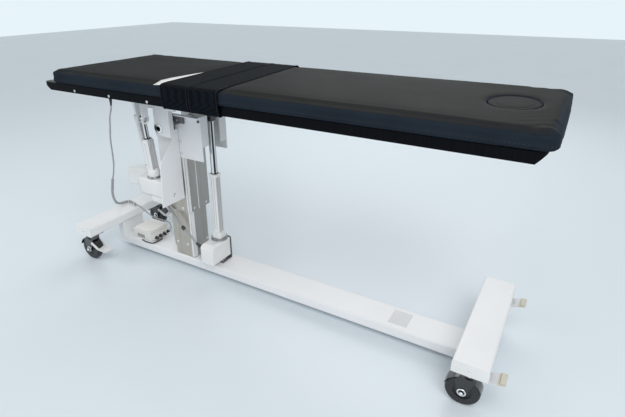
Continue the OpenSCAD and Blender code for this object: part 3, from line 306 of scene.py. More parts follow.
def pedalCoat(name, colour, arm, split):  # the plate's grey arm, and its pad from split on
    mat, tree, shader = startMaterial(name, colour, 0.42)
    place = objectCoords(tree)
    x = tree.nodes.new("ShaderNodeSeparateXYZ")
    tree.links.new(place, x.inputs["Vector"])
    past = addRange(tree, x.outputs["X"], 0, 1)
    setInputs(past.node, {"From Min": 1, "From Max": 2})  # a ramp takes no place over 1
    shade = addRamp(tree, past, split - 1, split - 0.998, (arm, colour))
    tree.links.new(shade, shader.inputs["Base Color"])
    addBump(tree, shader, addNoise(tree, place, 500, 3), 0.1, 0.0003)
    return mat


finishes = {
    "white_paint": coated("powder", "whitePaint", (0.85, 0.86, 0.87), 0.38),
    "white_plastic": coated("moulded", "whitePlastic", (0.83, 0.835, 0.83), 0.34, 0.3),
    "white_tube": tubeCoat("whiteTube", (0.84, 0.85, 0.86)),
    "cream_plastic": coated("moulded", "creamPlastic", (0.82, 0.815, 0.79), 0.5),
    "brushed": brushedMetal("brushedAluminium", (0.53, 0.49, 0.435), 0.36),
    "dark_metal": coated("powder", "darkSteel", (0.12, 0.12, 0.125), 0.42),
    "clevis_metal": coated("powder", "blackSteel", (0.02, 0.02, 0.022), 0.35),
    "chrome": chromePlate("chromePlate"),
    "black_plastic": coated("moulded", "glossBlack", (0.012, 0.013, 0.015), 0.18, 0.6),
    "cable_sheath": coated("sheath", "cableSheath", (0.36, 0.37, 0.38), 0.5),
    "carbon": carbonGloss("carbonGloss", (0.0022, 0.0028, 0.0045)),
    "pad_cover": coatedCloth("padCover", (0.018, 0.022, 0.031)),
    "strap_mesh": meshWebbing("strapMesh", (0.006, 0.007, 0.009), (0.012, 0.015, 0.020)),
    "tyre": coated("tyre", "rubberTyre", (0.012, 0.012, 0.014), 0.42),
    "pedal_beige": coated("moulded", "pedalBeige", (0.60, 0.58, 0.48), 0.45),
    "pedal_pad": pedalCoat("pedalPad", (0.60, 0.57, 0.46), (0.72, 0.73, 0.74), 1.077),
    "stitch": coated("moulded", "stitchThread", (0.035, 0.035, 0.04), 0.6),
    "socket_black": coated("moulded", "socketBlack", (0.02, 0.02, 0.023), 0.4),
    "rod": chromePlate("rodChrome", rod=True),
    "ring_steel": chromePlate("ringSteel", (0.40, 0.40, 0.40), 0.2),
    "core": coated("moulded", "foamCore", (0.24, 0.21, 0.15), 0.6),
    "silver": brushedMetal("silverSteel", (0.78, 0.79, 0.80), 0.4, (60, 60, 60)),
    "film": coated("moulded", "labelFilm", (0.60, 0.61, 0.62), 0.22, 0.5),
}
lighter = {
    "roll_frame": "white_paint",
    "pillow_blocks": "silver",
    "lift_gland": "white_plastic",
    "pedal_foot_near": "pedal_pad",
    "pedal_foot_far": "pedal_pad",
    "lift_ring": "ring_steel",
    "lift_rod": "rod",
    "tilt_rod": "rod",
    "roll_rod": "rod",
    "pedal_head_near": "white_plastic",
    "pedal_head_far": "white_plastic",
}
for entry in frame["record"]["subparts"]:
    node = frame["nodes"][entry["node"]]
    node.data.materials.clear()
    node.data.materials.append(finishes[lighter.get(entry["node"], entry["material_slot"])])
print("finishes set")


# mesh making
def addMesh(name, points, faces, finish, body, smooth=True, slot=None):
    mesh = bpy.data.meshes.new(name)
    mesh.from_pydata([Vector(p) for p in points], [], faces)
    mesh.validate()
    mesh.update()
    obj = addObject(name, mesh)
    mesh.materials.append(finishes[finish])
    if smooth:
        for face in mesh.polygons:
            face.use_smooth = True
    if body:
        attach(obj, body)
    return obj


def heading(route, i):
    return (route[min(i + 1, len(route) - 1)] - route[max(i - 1, 0)]).normalized()


def circle(middle, u, v, radius, sides):
    turns = (2 * math.pi * k / sides for k in range(sides))
    return [middle + radius * (math.cos(w) * u + math.sin(w) * v) for w in turns]


def skin(rows, sides, ends=True):  # faces over rows of points, with flat ends or closed to a ring
    faces = []
    for i in range(rows - 1 if ends else rows):
        for k in range(sides):
            a, b = i * sides + k, i * sides + (k + 1) % sides
            c, e = (i + 1) % rows * sides + (k + 1) % sides, (i + 1) % rows * sides + k
            faces.append((a, b, c, e))
    if ends:
        faces += [tuple(reversed(range(sides))), tuple(range((rows - 1) * sides, rows * sides))]
    return faces


def smoothRoute(points, steps):
    pts = [Vector(p) for p in points]
    pts = [2 * pts[0] - pts[1]] + pts + [2 * pts[-1] - pts[-2]]
    out = []
    for i in range(1, len(pts) - 2):
        a, b, c, d = pts[i - 1:i + 3]
        for k in range(steps):
            t = k / steps
            out.append(0.5 * ((2 * b) + (c - a) * t + (2 * a - 5 * b + 4 * c - d) * t * t
                              + (3 * b - a - 3 * c + d) * t ** 3))
    out.append(pts[-2])
    return out


def tubeMesh(route, radii, sides=18):
    points, side = [], None
    for i, p in enumerate(route):
        along = heading(route, i)
        if side is None:
            side = along.orthogonal().normalized()
        side = (side - along * side.dot(along)).normalized()
        points += circle(p, side, along.cross(side), radii[i], sides)
    return points, skin(len(route), sides)


def latheMesh(profile, origin, axis, sides=40):
    axis = Vector(axis).normalized()
    u = axis.orthogonal().normalized()
    v = axis.cross(u)
    points = []
    for r, h in profile:
        points += circle(Vector(origin) + axis * h, u, v, r, sides)
    return points, skin(len(profile), sides)


def joinParts(parts):
    points, faces = [], []
    for morePoints, moreFaces in parts:
        start = len(points)
        points += list(morePoints)
        faces += [tuple(i + start for i in f) for f in moreFaces]
    return points, faces


# fittings: bolts, rings, boots, clips
def hexPrism(origin, axis, radius, height):
    shares = ((0.94, 0), (1, 0.12), (1, 0.8), (0.86, 1))
    return latheMesh([(radius * r, height * h) for r, h in shares], origin, axis, 6)


def domeHead(origin, axis, radius, height, sides=28):
    shares = ((0.98, 0), (1, 0.2), (0.93, 0.55), (0.74, 0.84), (0.42, 1), (0.40, 0.55), (0.05, 0.5))
    return latheMesh([(radius * r, height * h) for r, h in shares], origin, axis, sides)


def ringBand(origin, axis, inner, outer, height, sides=40):
    mid = (inner + outer) / 2
    profile = [(inner, 0), (outer, 0), (outer, height * 0.7), (mid, height), (inner, height)]
    return latheMesh(profile, origin, axis, sides)[0], skin(len(profile), sides, False)


def boxPart(low, high, bevel=0.001):
    bm = bmesh.new()
    bmesh.ops.create_cube(bm, size=1)
    size = Vector(high) - Vector(low)
    middle = (Vector(high) + Vector(low)) / 2
    for v in bm.verts:
        v.co = Vector((v.co[i] * size[i] + middle[i] for i in range(3)))
    offset = min(bevel, min(size) * 0.4)
    bmesh.ops.bevel(bm, geom=bm.edges[:], offset=offset, segments=2, affect="EDGES", profile=0.7)
    bm.verts.index_update()
    points = [v.co.copy() for v in bm.verts]
    faces = [tuple(v.index for v in f.verts) for f in bm.faces]
    bm.free()
    return points, faces


def addJoined(name, parts, finish, body, slot=None, smooth=True):
    return addMesh(name, *joinParts(parts), finish, body, smooth, slot or finish)


# cables: the same points as in the part's source, in millimetres there
cableTop = {
    "points": [(-0.622, -0.300, 0.950), (-0.624, -0.300, 0.925), (-0.630, -0.300, 0.895),
               (-0.646, -0.300, 0.862), (-0.654, -0.298, 0.838)],
    "radius": 0.0035,
}
cableMid = {
    "points": [(-0.6543, -0.2978, 0.8372), (-0.662, -0.294, 0.818), (-0.678, -0.286, 0.790),
               (-0.704, -0.272, 0.745), (-0.722, -0.260, 0.708)],
    "radius": 0.0035,
}
cableLow = {
    "points": [(-0.7224, -0.2597, 0.7073), (-0.752, -0.238, 0.652), (-0.786, -0.215, 0.590),
               (-0.838, -0.180, 0.545), (-0.900, -0.140, 0.490), (-0.948, -0.115, 0.440),
               (-0.990, -0.092, 0.385), (-1.022, -0.075, 0.335), (-1.046, -0.055, 0.285),
               (-1.058, -0.032, 0.246), (-1.064, 0.0, 0.229), (-1.068, 0.034, 0.223),
               (-1.056, 0.056, 0.222), (-1.020, 0.052, 0.222), (-0.985, 0.040, 0.2225),
               (-0.955, 0.040, 0.2195), (-0.925, 0.042, 0.204), (-0.895, 0.048, 0.182),
               (-0.860, 0.058, 0.160), (-0.815, 0.068, 0.153), (-0.770, 0.072, 0.150),
               (-0.746, 0.066, 0.140), (-0.738, 0.058, 0.124), (-0.742, 0.054, 0.112),
               (-0.750, 0.05225, 0.102), (-0.762, 0.05225, 0.099)],
    "radius": 0.0035,
    "thickRadius": 0.007,
    "thick": (5, 14),  # first and last point of the thick sleeve
}
motorCable = {
    "points": [(-0.588, -0.092, 0.369), (-0.568, -0.092, 0.350), (-0.548, -0.092, 0.328),
               (-0.530, -0.092, 0.306), (-0.512, -0.093, 0.285), (-0.492, -0.094, 0.266),
               (-0.474, -0.095, 0.252), (-0.452, -0.096, 0.240), (-0.430, -0.098, 0.224),
               (-0.408, -0.099, 0.205), (-0.390, -0.096, 0.188), (-0.369, -0.090, 0.172)],
    "radius": 0.006,
    "plug": (5, 6),  # first and last point of the plug in the cable
    "plugRadius": 0.010,
}


def cableTube(name, route, radius, finish):
    points, faces = tubeMesh(route, [radius] * len(route))
    tube = addMesh(name, points, faces, finish, None, slot="cable_sheath")
    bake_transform(tube)
    return tube


def makeCable(name, d, bodies, node, start, end):
    steps = 5
    route = smoothRoute(d["points"], steps)
    cable = cableTube(name, route, d["radius"], "cable_sheath")
    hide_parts(node)
    if "thick" in d:
        first, last = (i * steps for i in d["thick"])
        cableTube(name + "Sleeve", route[first:last + 1], d["thickRadius"], "cable_sheath")
    if "plug" in d:
        first, last = (i * steps for i in d["plug"])
        core = route[first:last + 1]
        radii = [d["plugRadius"] - (0.0016 if k in (0, len(core) - 1) else 0.0007 * (k % 2))
                 for k in range(len(core))]
        plug = addMesh(name + "Plug", *tubeMesh(core, radii), "black_plastic", None, slot="black_plastic")
        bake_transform(plug)
        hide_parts("cable_plug")
    return route


topBlend = ((-0.622, -0.3, 0.94), (-0.654, -0.298, 0.85))
liftBlend = ((-0.58, -0.092, 0.36), (-0.37, -0.090, 0.172))
topRoute = makeCable("topCable", cableTop, ("table_top", "yoke_body"), "cable_top", *topBlend)
makeCable("midCable", cableMid, ("yoke_body", "carriage"), "cable_mid", (-0.656, -0.298, 0.832),
          (-0.72, -0.26, 0.715))
lowRoute = makeCable("lowCable", cableLow, ("carriage", "base"), "cable_low", (-0.73, -0.255, 0.70),
                     (-1.03, -0.06, 0.32))
liftRoute = makeCable("liftMotorCable", motorCable, ("carriage", "base"), "motor_cable", *liftBlend)
print("cables laid")


# mattress: the pad of the CAD swells as cloth round its foam, then gets piping and stitches
padData = {
    "voxel": 0.007,
    "pressure": 4.0,
    "frames": 20,
    "quality": 4,
    "held": 0.010,  # the cover's foot is held up to here
    "cap": 0.0052,
    "tight": 0.0017,  # under the straps and round the face pillow
    "shrink": 0.0013,
    "rim": 0.05,
    "drawIn": (0.05, 0.35),
    "drape": ((3.1, 0.0012), (11, 0.0005)),  # waves per metre, height
    "face": (0.012, 0.6),  # depth of the top and the sides, share of the waves' height past it
    "fold": {"x": 1.07, "y": 0.31, "z": 1.02, "across": (0.9, 2.4, 1.3), "reach": 0.075, "deep": 0.0024,
             "pitch": 0.062, "level": 0.6, "smooth": (4, 0.5, 1.6)},  # smooth: times, share, reach as a share
    "strap": (-0.139, 0.142, 0.078, 0.335, 0.05),  # middle, half width, skew, near edge, ease beside them
    "plug": (0.938, 0.080, 0.108, 1.02, 0.4),  # middle, half length, half width, rim and ease as shares
}
pipeData = {
    "radius": 0.0017,
    "heights": (0.0112, 0.0448),
    "step": 0.006,
    "back": 0.02,  # how far out the rays in to the cover start
    "reach": 0.06,
    "sunk": 0.35,  # share of the radius
    "corner": 0.046,
    "thread": (0.0005, 0.0002),  # radius, how far off the cover
    "stitch": (0.85, 0.0048),  # share of a step, distance to the pipe
}


def looseness(d, p):
    middle, half, skew, edge, ease = d["strap"]
    fromStrap = (abs(p.x - middle + skew * (p.y + edge)) - half) / ease
    x, long, wide, rim, ease = d["plug"]
    fromPlug = (math.hypot((p.x - x) / long, p.y / wide) - rim) / ease
    share = max(0, min(1, fromStrap, fromPlug))
    return share * share * (3 - 2 * share)


def capMove(obj, rest, d):
    low = [min(p[k] for p in rest) for k in range(2)]
    high = [max(p[k] for p in rest) for k in range(2)]
    for v, p in zip(obj.data.vertices, rest):
        cap = d["tight"] + (d["cap"] - d["tight"]) * looseness(d, p)
        move = v.co - p
        for k, share in enumerate(d["drawIn"]):  # the cover's ends and sides draw in only a little
            inward = 1 if p[k] < low[k] + d["rim"] else -1 if p[k] > high[k] - d["rim"] else 0
            if move[k] * inward > 0:
                move[k] *= share
        v.co = p + move
        if move.length > cap:
            v.co = p + move * (cap / move.length)


def swell(obj, d, pinned):
    frames = d["frames"]
    rest = [v.co.copy() for v in obj.data.vertices]
    group = obj.vertex_groups.new(name="held")
    group.add([i for i, p in enumerate(rest) if pinned(p)], 1.0, "REPLACE")
    cloth = obj.modifiers.new("cloth", "CLOTH")
    cloth.settings.use_pressure = True
    cloth.settings.uniform_pressure_force = d["pressure"]
    cloth.settings.effector_weights.gravity = 0
    cloth.settings.vertex_group_mass = "held"
    cloth.settings.quality = d["quality"]
    cloth.collision_settings.use_collision = False
    cloth.collision_settings.use_self_collision = False
    cloth.point_cache.frame_start = 1
    cloth.point_cache.frame_end = frames
    scene = bpy.context.scene
    scene.frame_start, scene.frame_end = 1, frames
    for f in range(1, frames + 1):
        scene.frame_set(f)
    shaped = obj.evaluated_get(bpy.context.evaluated_depsgraph_get())
    moved = [v.co.copy() for v in shaped.data.vertices]
    obj.modifiers.remove(cloth)
    for v, p in zip(obj.data.vertices, moved):
        v.co = p
    capMove(obj, rest, d)
    scene.frame_set(1)


def softCopy(name, node, voxel, shrink):
    source = frame["nodes"][node]
    mesh = source.data.copy()
    obj = addObject(name, mesh)
    weld = bmesh.new()
    weld.from_mesh(mesh)
    bmesh.ops.remove_doubles(weld, verts=weld.verts, dist=0.00002)
    weld.normal_update()
    for v in weld.verts:
        v.co -= v.normal * shrink
    weld.to_mesh(mesh)
    weld.free()
    remesh = obj.modifiers.new("remesh", "REMESH")
    remesh.mode = "VOXEL"
    remesh.voxel_size = voxel
    remesh.use_smooth_shade = True
    applied = bpy.data.meshes.new_from_object(obj.evaluated_get(bpy.context.evaluated_depsgraph_get()))
    obj.modifiers.remove(remesh)
    obj.data = applied
    return obj


def cornerFold(d, p):  # the cover is folded in at the foot end's corners
    x, y, z = p.x - d["x"], abs(p.y) - d["y"], p.z - d["z"]
    near = math.hypot(x, y) / d["reach"]
    across = sum(part * share for part, share in zip((x, z, y), d["across"]))
    return math.exp(-near * near) * d["deep"] * (math.sin(across * 2 * math.pi / d["pitch"]) - d["level"])


def makeMattress(d):
    pad = softCopy("mattressPad", "mattress", d["voxel"], d["shrink"])
    low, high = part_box("mattress")
    swell(pad, d, lambda p: p.z < low.z + d["held"])
    bm = bmesh.new()
    bm.from_mesh(pad.data)
    face, calm = d["face"]
    for v in bm.verts:
        drape = sum(noise.noise(v.co * scale) * height for scale, height in d["drape"])
        full = abs(v.co.y) > high.y - face or v.co.z > high.z - face
        if v.co.z > low.z + d["held"]:
            v.co += v.normal * drape * (1 if full else calm) * looseness(d, v.co)
            v.co += v.normal * cornerFold(d["fold"], v.co)
        v.co.z = max(v.co.z, low.z)
    f = d["fold"]
    times, factor, share = f["smooth"]
    near = share * f["reach"]
    corner = [v for v in bm.verts if math.hypot(v.co.x - f["x"], abs(v.co.y) - f["y"]) < near]
    for k in range(times):
        bmesh.ops.smooth_vert(bm, verts=corner, factor=factor, use_axis_x=True, use_axis_y=True,
                              use_axis_z=True)
    bm.to_mesh(pad.data)
    bm.free()
    pad.data.materials.clear()
    pad.data.materials.append(finishes["pad_cover"])
    for face in pad.data.polygons:
        face.use_smooth = True
    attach(pad, "table_top")
    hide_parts("mattress")
    return pad


pad = makeMattress(padData)
print("mattress made")


# straps: two bands of mesh webbing with stitched hems, over a cream liner strip
strapData = {  # side: out from the tray's side, up from its lip
    "side": [(-0.028, -0.037), (0.001, -0.037), (0.0105, -0.006), (0.0105, 0.012), (0.0105, 0.045),
             (0.0068, 0.0508), (-0.002, 0.0542), (-0.029, 0.0555), (-0.107, 0.0556)],
    "trayHalf": 0.325,
    "lip": 0.985,
    "x0": -0.281,
    "wide": 0.141,
    "gap": 0.002,
    "skew": 0.078,
    "edge": 0.335,
    "thick": 0.0022,
    "hemWide": 0.009,
    "hemThick": 0.0034,
    "seam": (0.002, 0.8),  # half width, share of the thickness
    "rim": (0.0006, 0.5),
    "lift": 0.0003,
    "columns": 34,
    "sway": (0.0011, 23, 40, 0.3, 12),  # height, turns along, shift between straps, where it fades, how fast
    "ripple": (0.0004, 38, 9, 7),  # height, scale across, along and between the straps
    "thread": (0.0005, 0.0002, 0.55),  # radius, height over the hem, share of the hem's width
    "stitch": (0.25, 0.03),  # how far out they start, longest
}


def strapPath(d):
    near = [Vector((0, -d["trayHalf"] - a, d["lip"] + b)) for a, b in d["side"]]
    far = [Vector((0, d["trayHalf"] + a, d["lip"] + b)) for a, b in reversed(d["side"][2:])]
    return smoothRoute(near + far, 9)


def outward(route, i):  # off the strap's route, in the plane that it runs in
    along = heading(route, i)
    return Vector((0, -along.z, along.y))


def strapBand(d, shift, route):
    profile, half, columns = [], d["wide"] / 2, d["columns"]
    (seam, pulled), (rim, thin) = d["seam"], d["rim"]
    for k in range(columns + 1):
        u = -half + d["wide"] * k / columns
        toEdge = half - abs(u)
        thick = d["hemThick"] if toEdge < d["hemWide"] else d["thick"]
        if abs(toEdge - d["hemWide"]) < seam:
            thick = d["thick"] * pulled
        if toEdge < rim:
            thick = d["thick"] * thin
        profile.append((u, thick))
    points = []
    high, turns, between, start, fade = d["sway"]
    deep, across, along, apart = d["ripple"]
    for i, p in enumerate(route):
        out = outward(route, i)
        sway = high * math.sin(p.y * turns + shift * between) * min(1, max(0, (start - abs(p.y)) * fade))
        middle = p + Vector((shift + sway - d["skew"] * (p.y + d["edge"]), 0, 0))
        for u, thick in profile:
            ripple = deep * noise.noise(Vector((u * across, p.y * along, shift * apart)))
            points.append(middle + Vector((u, 0, 0)) + out * (d["lift"] + thick + max(0, ripple)))
        for u, thick in reversed(profile):
            points.append(middle + Vector((u, 0, 0)) + out * d["lift"])
    return points, skin(len(route), 2 * (columns + 1))


def makeStraps(d):
    route = strapPath(d)
    radius, over, hemShare = d["thread"]
    start, longest = d["stitch"]
    bands, threads = [], []
    for i in range(2):
        shift = d["x0"] + d["wide"] / 2 + i * (d["wide"] + d["gap"])
        bands.append(strapBand(d, shift, route))
        for side in (-1, 1):
            u = side * (d["wide"] / 2 - d["hemWide"] * hemShare)
            dashes = []
            for k in (k for k in range(1, len(route) - 1) if abs(route[k].y) > start):
                p = route[k] + Vector((shift + u - d["skew"] * (route[k].y + d["edge"]), 0, 0))
                dashes.append(p + outward(route, k) * (d["lift"] + d["hemThick"] + over))
            for stitch in zip(dashes[::2], dashes[1::2]):
                if (stitch[1] - stitch[0]).length < longest:
                    threads.append(tubeMesh(stitch, [radius, radius], 6))
    straps = addJoined("strapBands", bands, "strap_mesh", "table_top")
    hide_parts("straps")
    addJoined("strapThread", threads, "stitch", "table_top", "strap_mesh")


makeStraps(strapData)

linerData = {
    "left": [(-0.326, -0.3235), (-0.3235, -0.25), (-0.3185, -0.18), (-0.3135, -0.10), (-0.3065, -0.045)],
    "right": [(-0.276, -0.3235), (-0.281, -0.25), (-0.286, -0.18), (-0.293, -0.10), (-0.2985, -0.045)],
    "above": 1.2,  # where the rays down to the cover start
    "sunk": 0.0009,  # into the cover below it
    "thick": 0.0022,
}


def makeLiner(pad, d):  # the white sheet lies on the swollen cover, beside the straps
    tree = BVHTree.FromObject(pad, bpy.context.evaluated_depsgraph_get())
    left = smoothRoute([(x, y, 0) for x, y in d["left"]], 5)
    right = smoothRoute([(x, y, 0) for x, y in d["right"]], 5)
    points = []
    up = Vector((0, 0, 1))
    for ends in zip(left, right):
        low = [tree.ray_cast(p + up * d["above"], -up)[0] - up * d["sunk"] for p in ends]
        high = [p + up * d["thick"] for p in low]
        points += [low[0], low[1], high[1], high[0]]
    addMesh("linerStrip", points, skin(len(left), 4), "cream_plastic", "table_top", True, "strap_mesh")


makeLiner(pad, linerData)
rivet = domeHead((-0.134, -0.3345, 1.0325), (0, -0.7, 0.7), 0.0032, 0.0018)
addJoined("strapRivet", [rivet], "chrome", "table_top")
print("straps made")


# mattress piping: follows the swollen pad along its top and bottom edges
def roundedLoop(middle, half, radius, steps=10):
    out = []
    for k, (sx, sy) in enumerate(((1, 1), (-1, 1), (-1, -1), (1, -1))):
        for w in (math.pi / 2 * (k + j / steps) for j in range(steps + 1)):
            out.append((middle[0] + sx * (half[0] - radius) + radius * math.cos(w),
                        middle[1] + sy * (half[1] - radius) + radius * math.sin(w)))
    return out


def evenLoop(loop, step):
    pts = [Vector((x, y, 0)) for x, y in loop] + [Vector((*loop[0], 0))]
    out, left = [], 0.0
    for a, b in zip(pts, pts[1:]):
        length = (b - a).length
        at = left
        while at < length:
            out.append(a + (b - a) * (at / length))
            at += step
        left = at - length
    return out


def closedTube(route, radius, sides=8):
    points = []
    for i, p in enumerate(route):
        along = (route[(i + 1) % len(route)] - route[i - 1]).normalized()
        side = Vector((0, 0, 1))
        side = (side - along * side.dot(along)).normalized()
        points += circle(p, side, along.cross(side), radius, sides)
    return points, skin(len(route), sides, False)


def makePiping(pad, d):
    low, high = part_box("mattress")
    middle, reach = ((low.x + high.x) / 2, 0), d["reach"]
    half = ((high.x - low.x) / 2, (high.y - low.y) / 2)
    tree = BVHTree.FromObject(pad, bpy.context.evaluated_depsgraph_get())
    pipes, threads = [], []
    radius, off = d["thread"]
    share, drop = d["stitch"]
    for height, side in zip(d["heights"], (1, -1)):
        route = []
        for p in evenLoop(roundedLoop(middle, half, d["corner"]), d["step"]):
            inX = max(-1, min(1, (middle[0] - p.x) * 9)) if abs(p.x - middle[0]) > half[0] - reach else 0
            inY = -math.copysign(1, p.y) if abs(p.y) > half[1] - reach else 0
            inward = Vector((inX, inY, 0)).normalized()
            start = Vector((p.x, p.y, low.z + height)) - inward * d["back"]
            hit = tree.ray_cast(start, inward, reach)[0]
            if hit:
                route.append(hit + inward * d["radius"] * d["sunk"])
        pipes.append(closedTube(route, d["radius"]))
        for a, b in list(zip(route, route[1:]))[::2]:
            lift = Vector((0, 0, side * drop)) - (b - a).cross(Vector((0, 0, -1))).normalized() * off
            threads.append(tubeMesh([a + lift, a + (b - a) * share + lift], [radius, radius], 5))
    addJoined("mattressPiping", pipes, "pad_cover", "table_top")
    addJoined("mattressThread", threads, "stitch", "table_top", "pad_cover")


makePiping(pad, pipeData)


# face plug: a crowned oval pillow with a welt, standing in its pocket
plugData = {
    "middle": (0.938, 0.0),
    "half": (0.0795, 0.1075),
    "low": 1.0115,
    "edge": 1.0385,
    "crown": 0.0022,
    "channel": (0.0016, 0.76, 0.82),  # depth, and where as shares
    "foot": (0.97, 0.004),  # share of the oval, height
    "belly": (0.003, 5),  # share of the oval, rings up the side
    "rings": (15, 0.99, 0.02),  # over the crown: number, share of the first, least share
    "dent": (0.0003, 3, 30),  # height, scale along the top, scale up the side
    "sides": 96,
    "welt": (0.985, 0.0013, 120),  # share of the oval, radius, points
}


def ovalPoint(d, share, w, z):
    return Vector((d["middle"][0] + d["half"][0] * share * math.cos(w),
                   d["middle"][1] + d["half"][1] * share * math.sin(w), z))


def makePlug(d):
    points, sides = [], d["sides"]
    foot, bottom = d["foot"]
    belly, steps = d["belly"]
    deep, inner, outer = d["channel"]
    count, first, least = d["rings"]
    rings = [(foot, d["low"]), (1.0, d["low"] + bottom)]
    for k in range(1, steps):
        rings.append((1.0 + belly * math.sin(math.pi * k / steps),
                      d["low"] + bottom + (d["edge"] - d["low"] - 2 * bottom) * k / steps))
    for share in (1 - k / (count - 1) for k in range(count)):
        top = d["edge"] + d["crown"] * (1 - share ** 6) - (deep if inner < share < outer else 0)
        rings.append((first * max(share, least), top))
    high, scale, rise = d["dent"]
    for share, z in rings:
        for w in (2 * math.pi * k / sides for k in range(sides)):
            spot = Vector((math.cos(w) * share * scale, math.sin(w) * share * scale, z * rise))
            points.append(ovalPoint(d, share, w, z + high * noise.noise(spot)))
    plug = addMesh("facePillow", points, skin(len(rings), sides), "pad_cover", "table_top", True, "pad_cover")
    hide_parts("face_plug")
    share, radius, count = d["welt"]
    welt = [ovalPoint(d, share, 2 * math.pi * k / count, d["edge"] + 0.0002) for k in range(count)]
    addJoined("pillowWelt", [closedTube(welt, radius)], "pad_cover", "table_top")


makePlug(plugData)
print("mattress trimmed")


# hardware: screw heads, nuts, seals, strips and boots on the frame
hardwareData = {
    "lidScrew": {"radius": 0.0035, "height": 0.0016, "inset": 0.012, "sunk": 0.0002},
    "footBolt": {"radius": 0.0055, "height": 0.0045, "inset": (0.012, 0.03), "bed": 0.0799},
    "capBolt": {"radius": 0.0042, "height": 0.0016, "inset": 0.0625, "z": 0.1895, "seat": 0.9995},
    "blockBolt": {"radius": 0.0052, "height": 0.0048, "inset": 0.009, "y": 0.031, "bed": 0.8985},
    "hubNut": {"radius": 0.0085, "height": 0.0055, "sunk": 0.0006},
    "hubRing": {"inner": 0.0101, "outer": 0.0165, "height": 0.0022, "sunk": 0.0052},
    "hubCap": {"radius": 0.0058, "height": 0.003, "out": 0.0047},
    "film": ((0.611, -0.046, 0.0741), (0.693, 0.05, 0.0745), 0.0001),  # corners, bevel
    "tray": {"end": 0.006, "side": 0.03, "under": 0.004, "sunk": 0.0002, "out": 0.0003, "bevel": 0.0002},
    "pedalPad": {"long": 0.020, "end": 0.0005, "side": 0.003, "sunk": 0.004, "out": 0.0016},
}
boxData = {
    "ribs": (15, 13),  # along the lid, across it
    "rib": {"half": 0.0014, "out": 0.0009, "sunk": 0.002, "inset": 0.016, "low": 0.0012, "high": 0.0035,
            "bevel": 0.0004},
    "plate": {"x": (0.03, 0.086), "y": (-0.0006, 0.001), "z": (0.014, 0.036), "bevel": 0.0003},
    "sockets": {"count": 4, "pitch": 0.118 / 4, "y": 0.008, "z": 0.099, "sunk": 0.0004, "capSunk": 0.001},
    "ring": (0.006, 0.0105, 0.003),  # inner and outer radius, height
    "cap": [(0.0062, 0), (0.0082, 0.001), (0.0086, 0.011), (0.0074, 0.016), (0.0042, 0.0175)],
    "seal": [(0.07, -0.006, 0.0785), (0.10, -0.012, 0.0782), (0.125, -0.011, 0.0782)],  # from the near corner
    "sealEnd": [(-0.004, -0.008, 0.0782), (0.007, 0.006, 0.0782), (0.009, 0.03, 0.0782),
                (0.009, 0.06, 0.0782)],
    "sealRadius": 0.0034,
    "flange": {"low": (-0.004, -0.004, 0.0739), "high": (0.003, 0.004, 0.0763), "bevel": 0.0008},
}


def makeLidScrews(d):
    low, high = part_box("control_box_lid")
    inset, z = d["inset"], high.z - d["sunk"]
    spots = [(x, y, z) for x in (low.x + inset, high.x - inset) for y in (low.y + inset, high.y - inset)]
    heads = [domeHead(spot, (0, 0, 1), d["radius"], d["height"]) for spot in spots]
    addJoined("lidScrews", heads, "chrome", "base")


def makeBoxDetails(d):
    low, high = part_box("control_box_lid")
    boxLow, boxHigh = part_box("control_box")
    rib, ribs = d["rib"], []
    half, out, sunk, inset, bevel = (rib[k] for k in ("half", "out", "sunk", "inset", "bevel"))
    bottom, top = low.z + rib["low"], high.z - rib["high"]
    along, across = (n - 1 for n in d["ribs"])
    for x in (low.x + inset + k * (high.x - low.x - 2 * inset) / along for k in range(along + 1)):
        for y0, y1 in ((low.y - out, low.y + sunk), (high.y - sunk, high.y + out)):
            ribs.append(boxPart((x - half, y0, bottom), (x + half, y1, top), bevel))
    for y in (low.y + inset + k * (high.y - low.y - 2 * inset) / across for k in range(across + 1)):
        ribs.append(boxPart((high.x - sunk, y - half, bottom), (high.x + out, y + half, top), bevel))
    addJoined("lidRibs", ribs, "cream_plastic", "base")
    corners = [boxLow + Vector(corner) for corner in zip(*(d["plate"][k] for k in "xyz"))]
    addJoined("blankPlate", [boxPart(*corners, d["plate"]["bevel"])], "brushed", "base")
    plugs, sockets = [], d["sockets"]
    for k in range(sockets["count"]):
        y = sockets["y"] + (k - (sockets["count"] - 1) / 2) * sockets["pitch"]
        plugs.append(ringBand((boxHigh.x - sockets["sunk"], y, sockets["z"]), (1, 0, 0), *d["ring"], 28))
        if k < sockets["count"] - 1:  # the last one holds the cable
            start = (boxHigh.x - sockets["capSunk"], y, sockets["z"])
            plugs.append(latheMesh(d["cap"], start, (1, 0, 0), 24))
    addJoined("boxPlugs", plugs, "socket_black", "base", "black_plastic")


def makeBolts(d):
    plates, heads = [], []
    foot, cap, block = d["footBolt"], d["capBolt"], d["blockBolt"]
    low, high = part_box("lift_bracket")
    for y in (low.y + inset for inset in foot["inset"]):
        for x in (low.x + foot["inset"][0], high.x - foot["inset"][0]):
            plates.append(hexPrism((x, y, foot["bed"]), (0, 0, 1), foot["radius"], foot["height"]))
    low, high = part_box("crossbar_caps")
    for x in (low.x + cap["inset"], high.x - cap["inset"]):
        for y, axis in ((low.y, (0, -1, 0)), (high.y, (0, 1, 0))):
            plates.append(domeHead((x, y * cap["seat"], cap["z"]), axis, cap["radius"], cap["height"]))
    addJoined("frameBolts", plates, "chrome", "base")
    low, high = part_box("pillow_blocks")
    for x in (low.x + block["inset"], high.x - block["inset"]):
        for y in (-block["y"], block["y"]):
            heads.append(hexPrism((x, y, block["bed"]), (0, 0, 1), block["radius"], block["height"]))
    addJoined("blockBolts", heads, "chrome", "yoke_body")


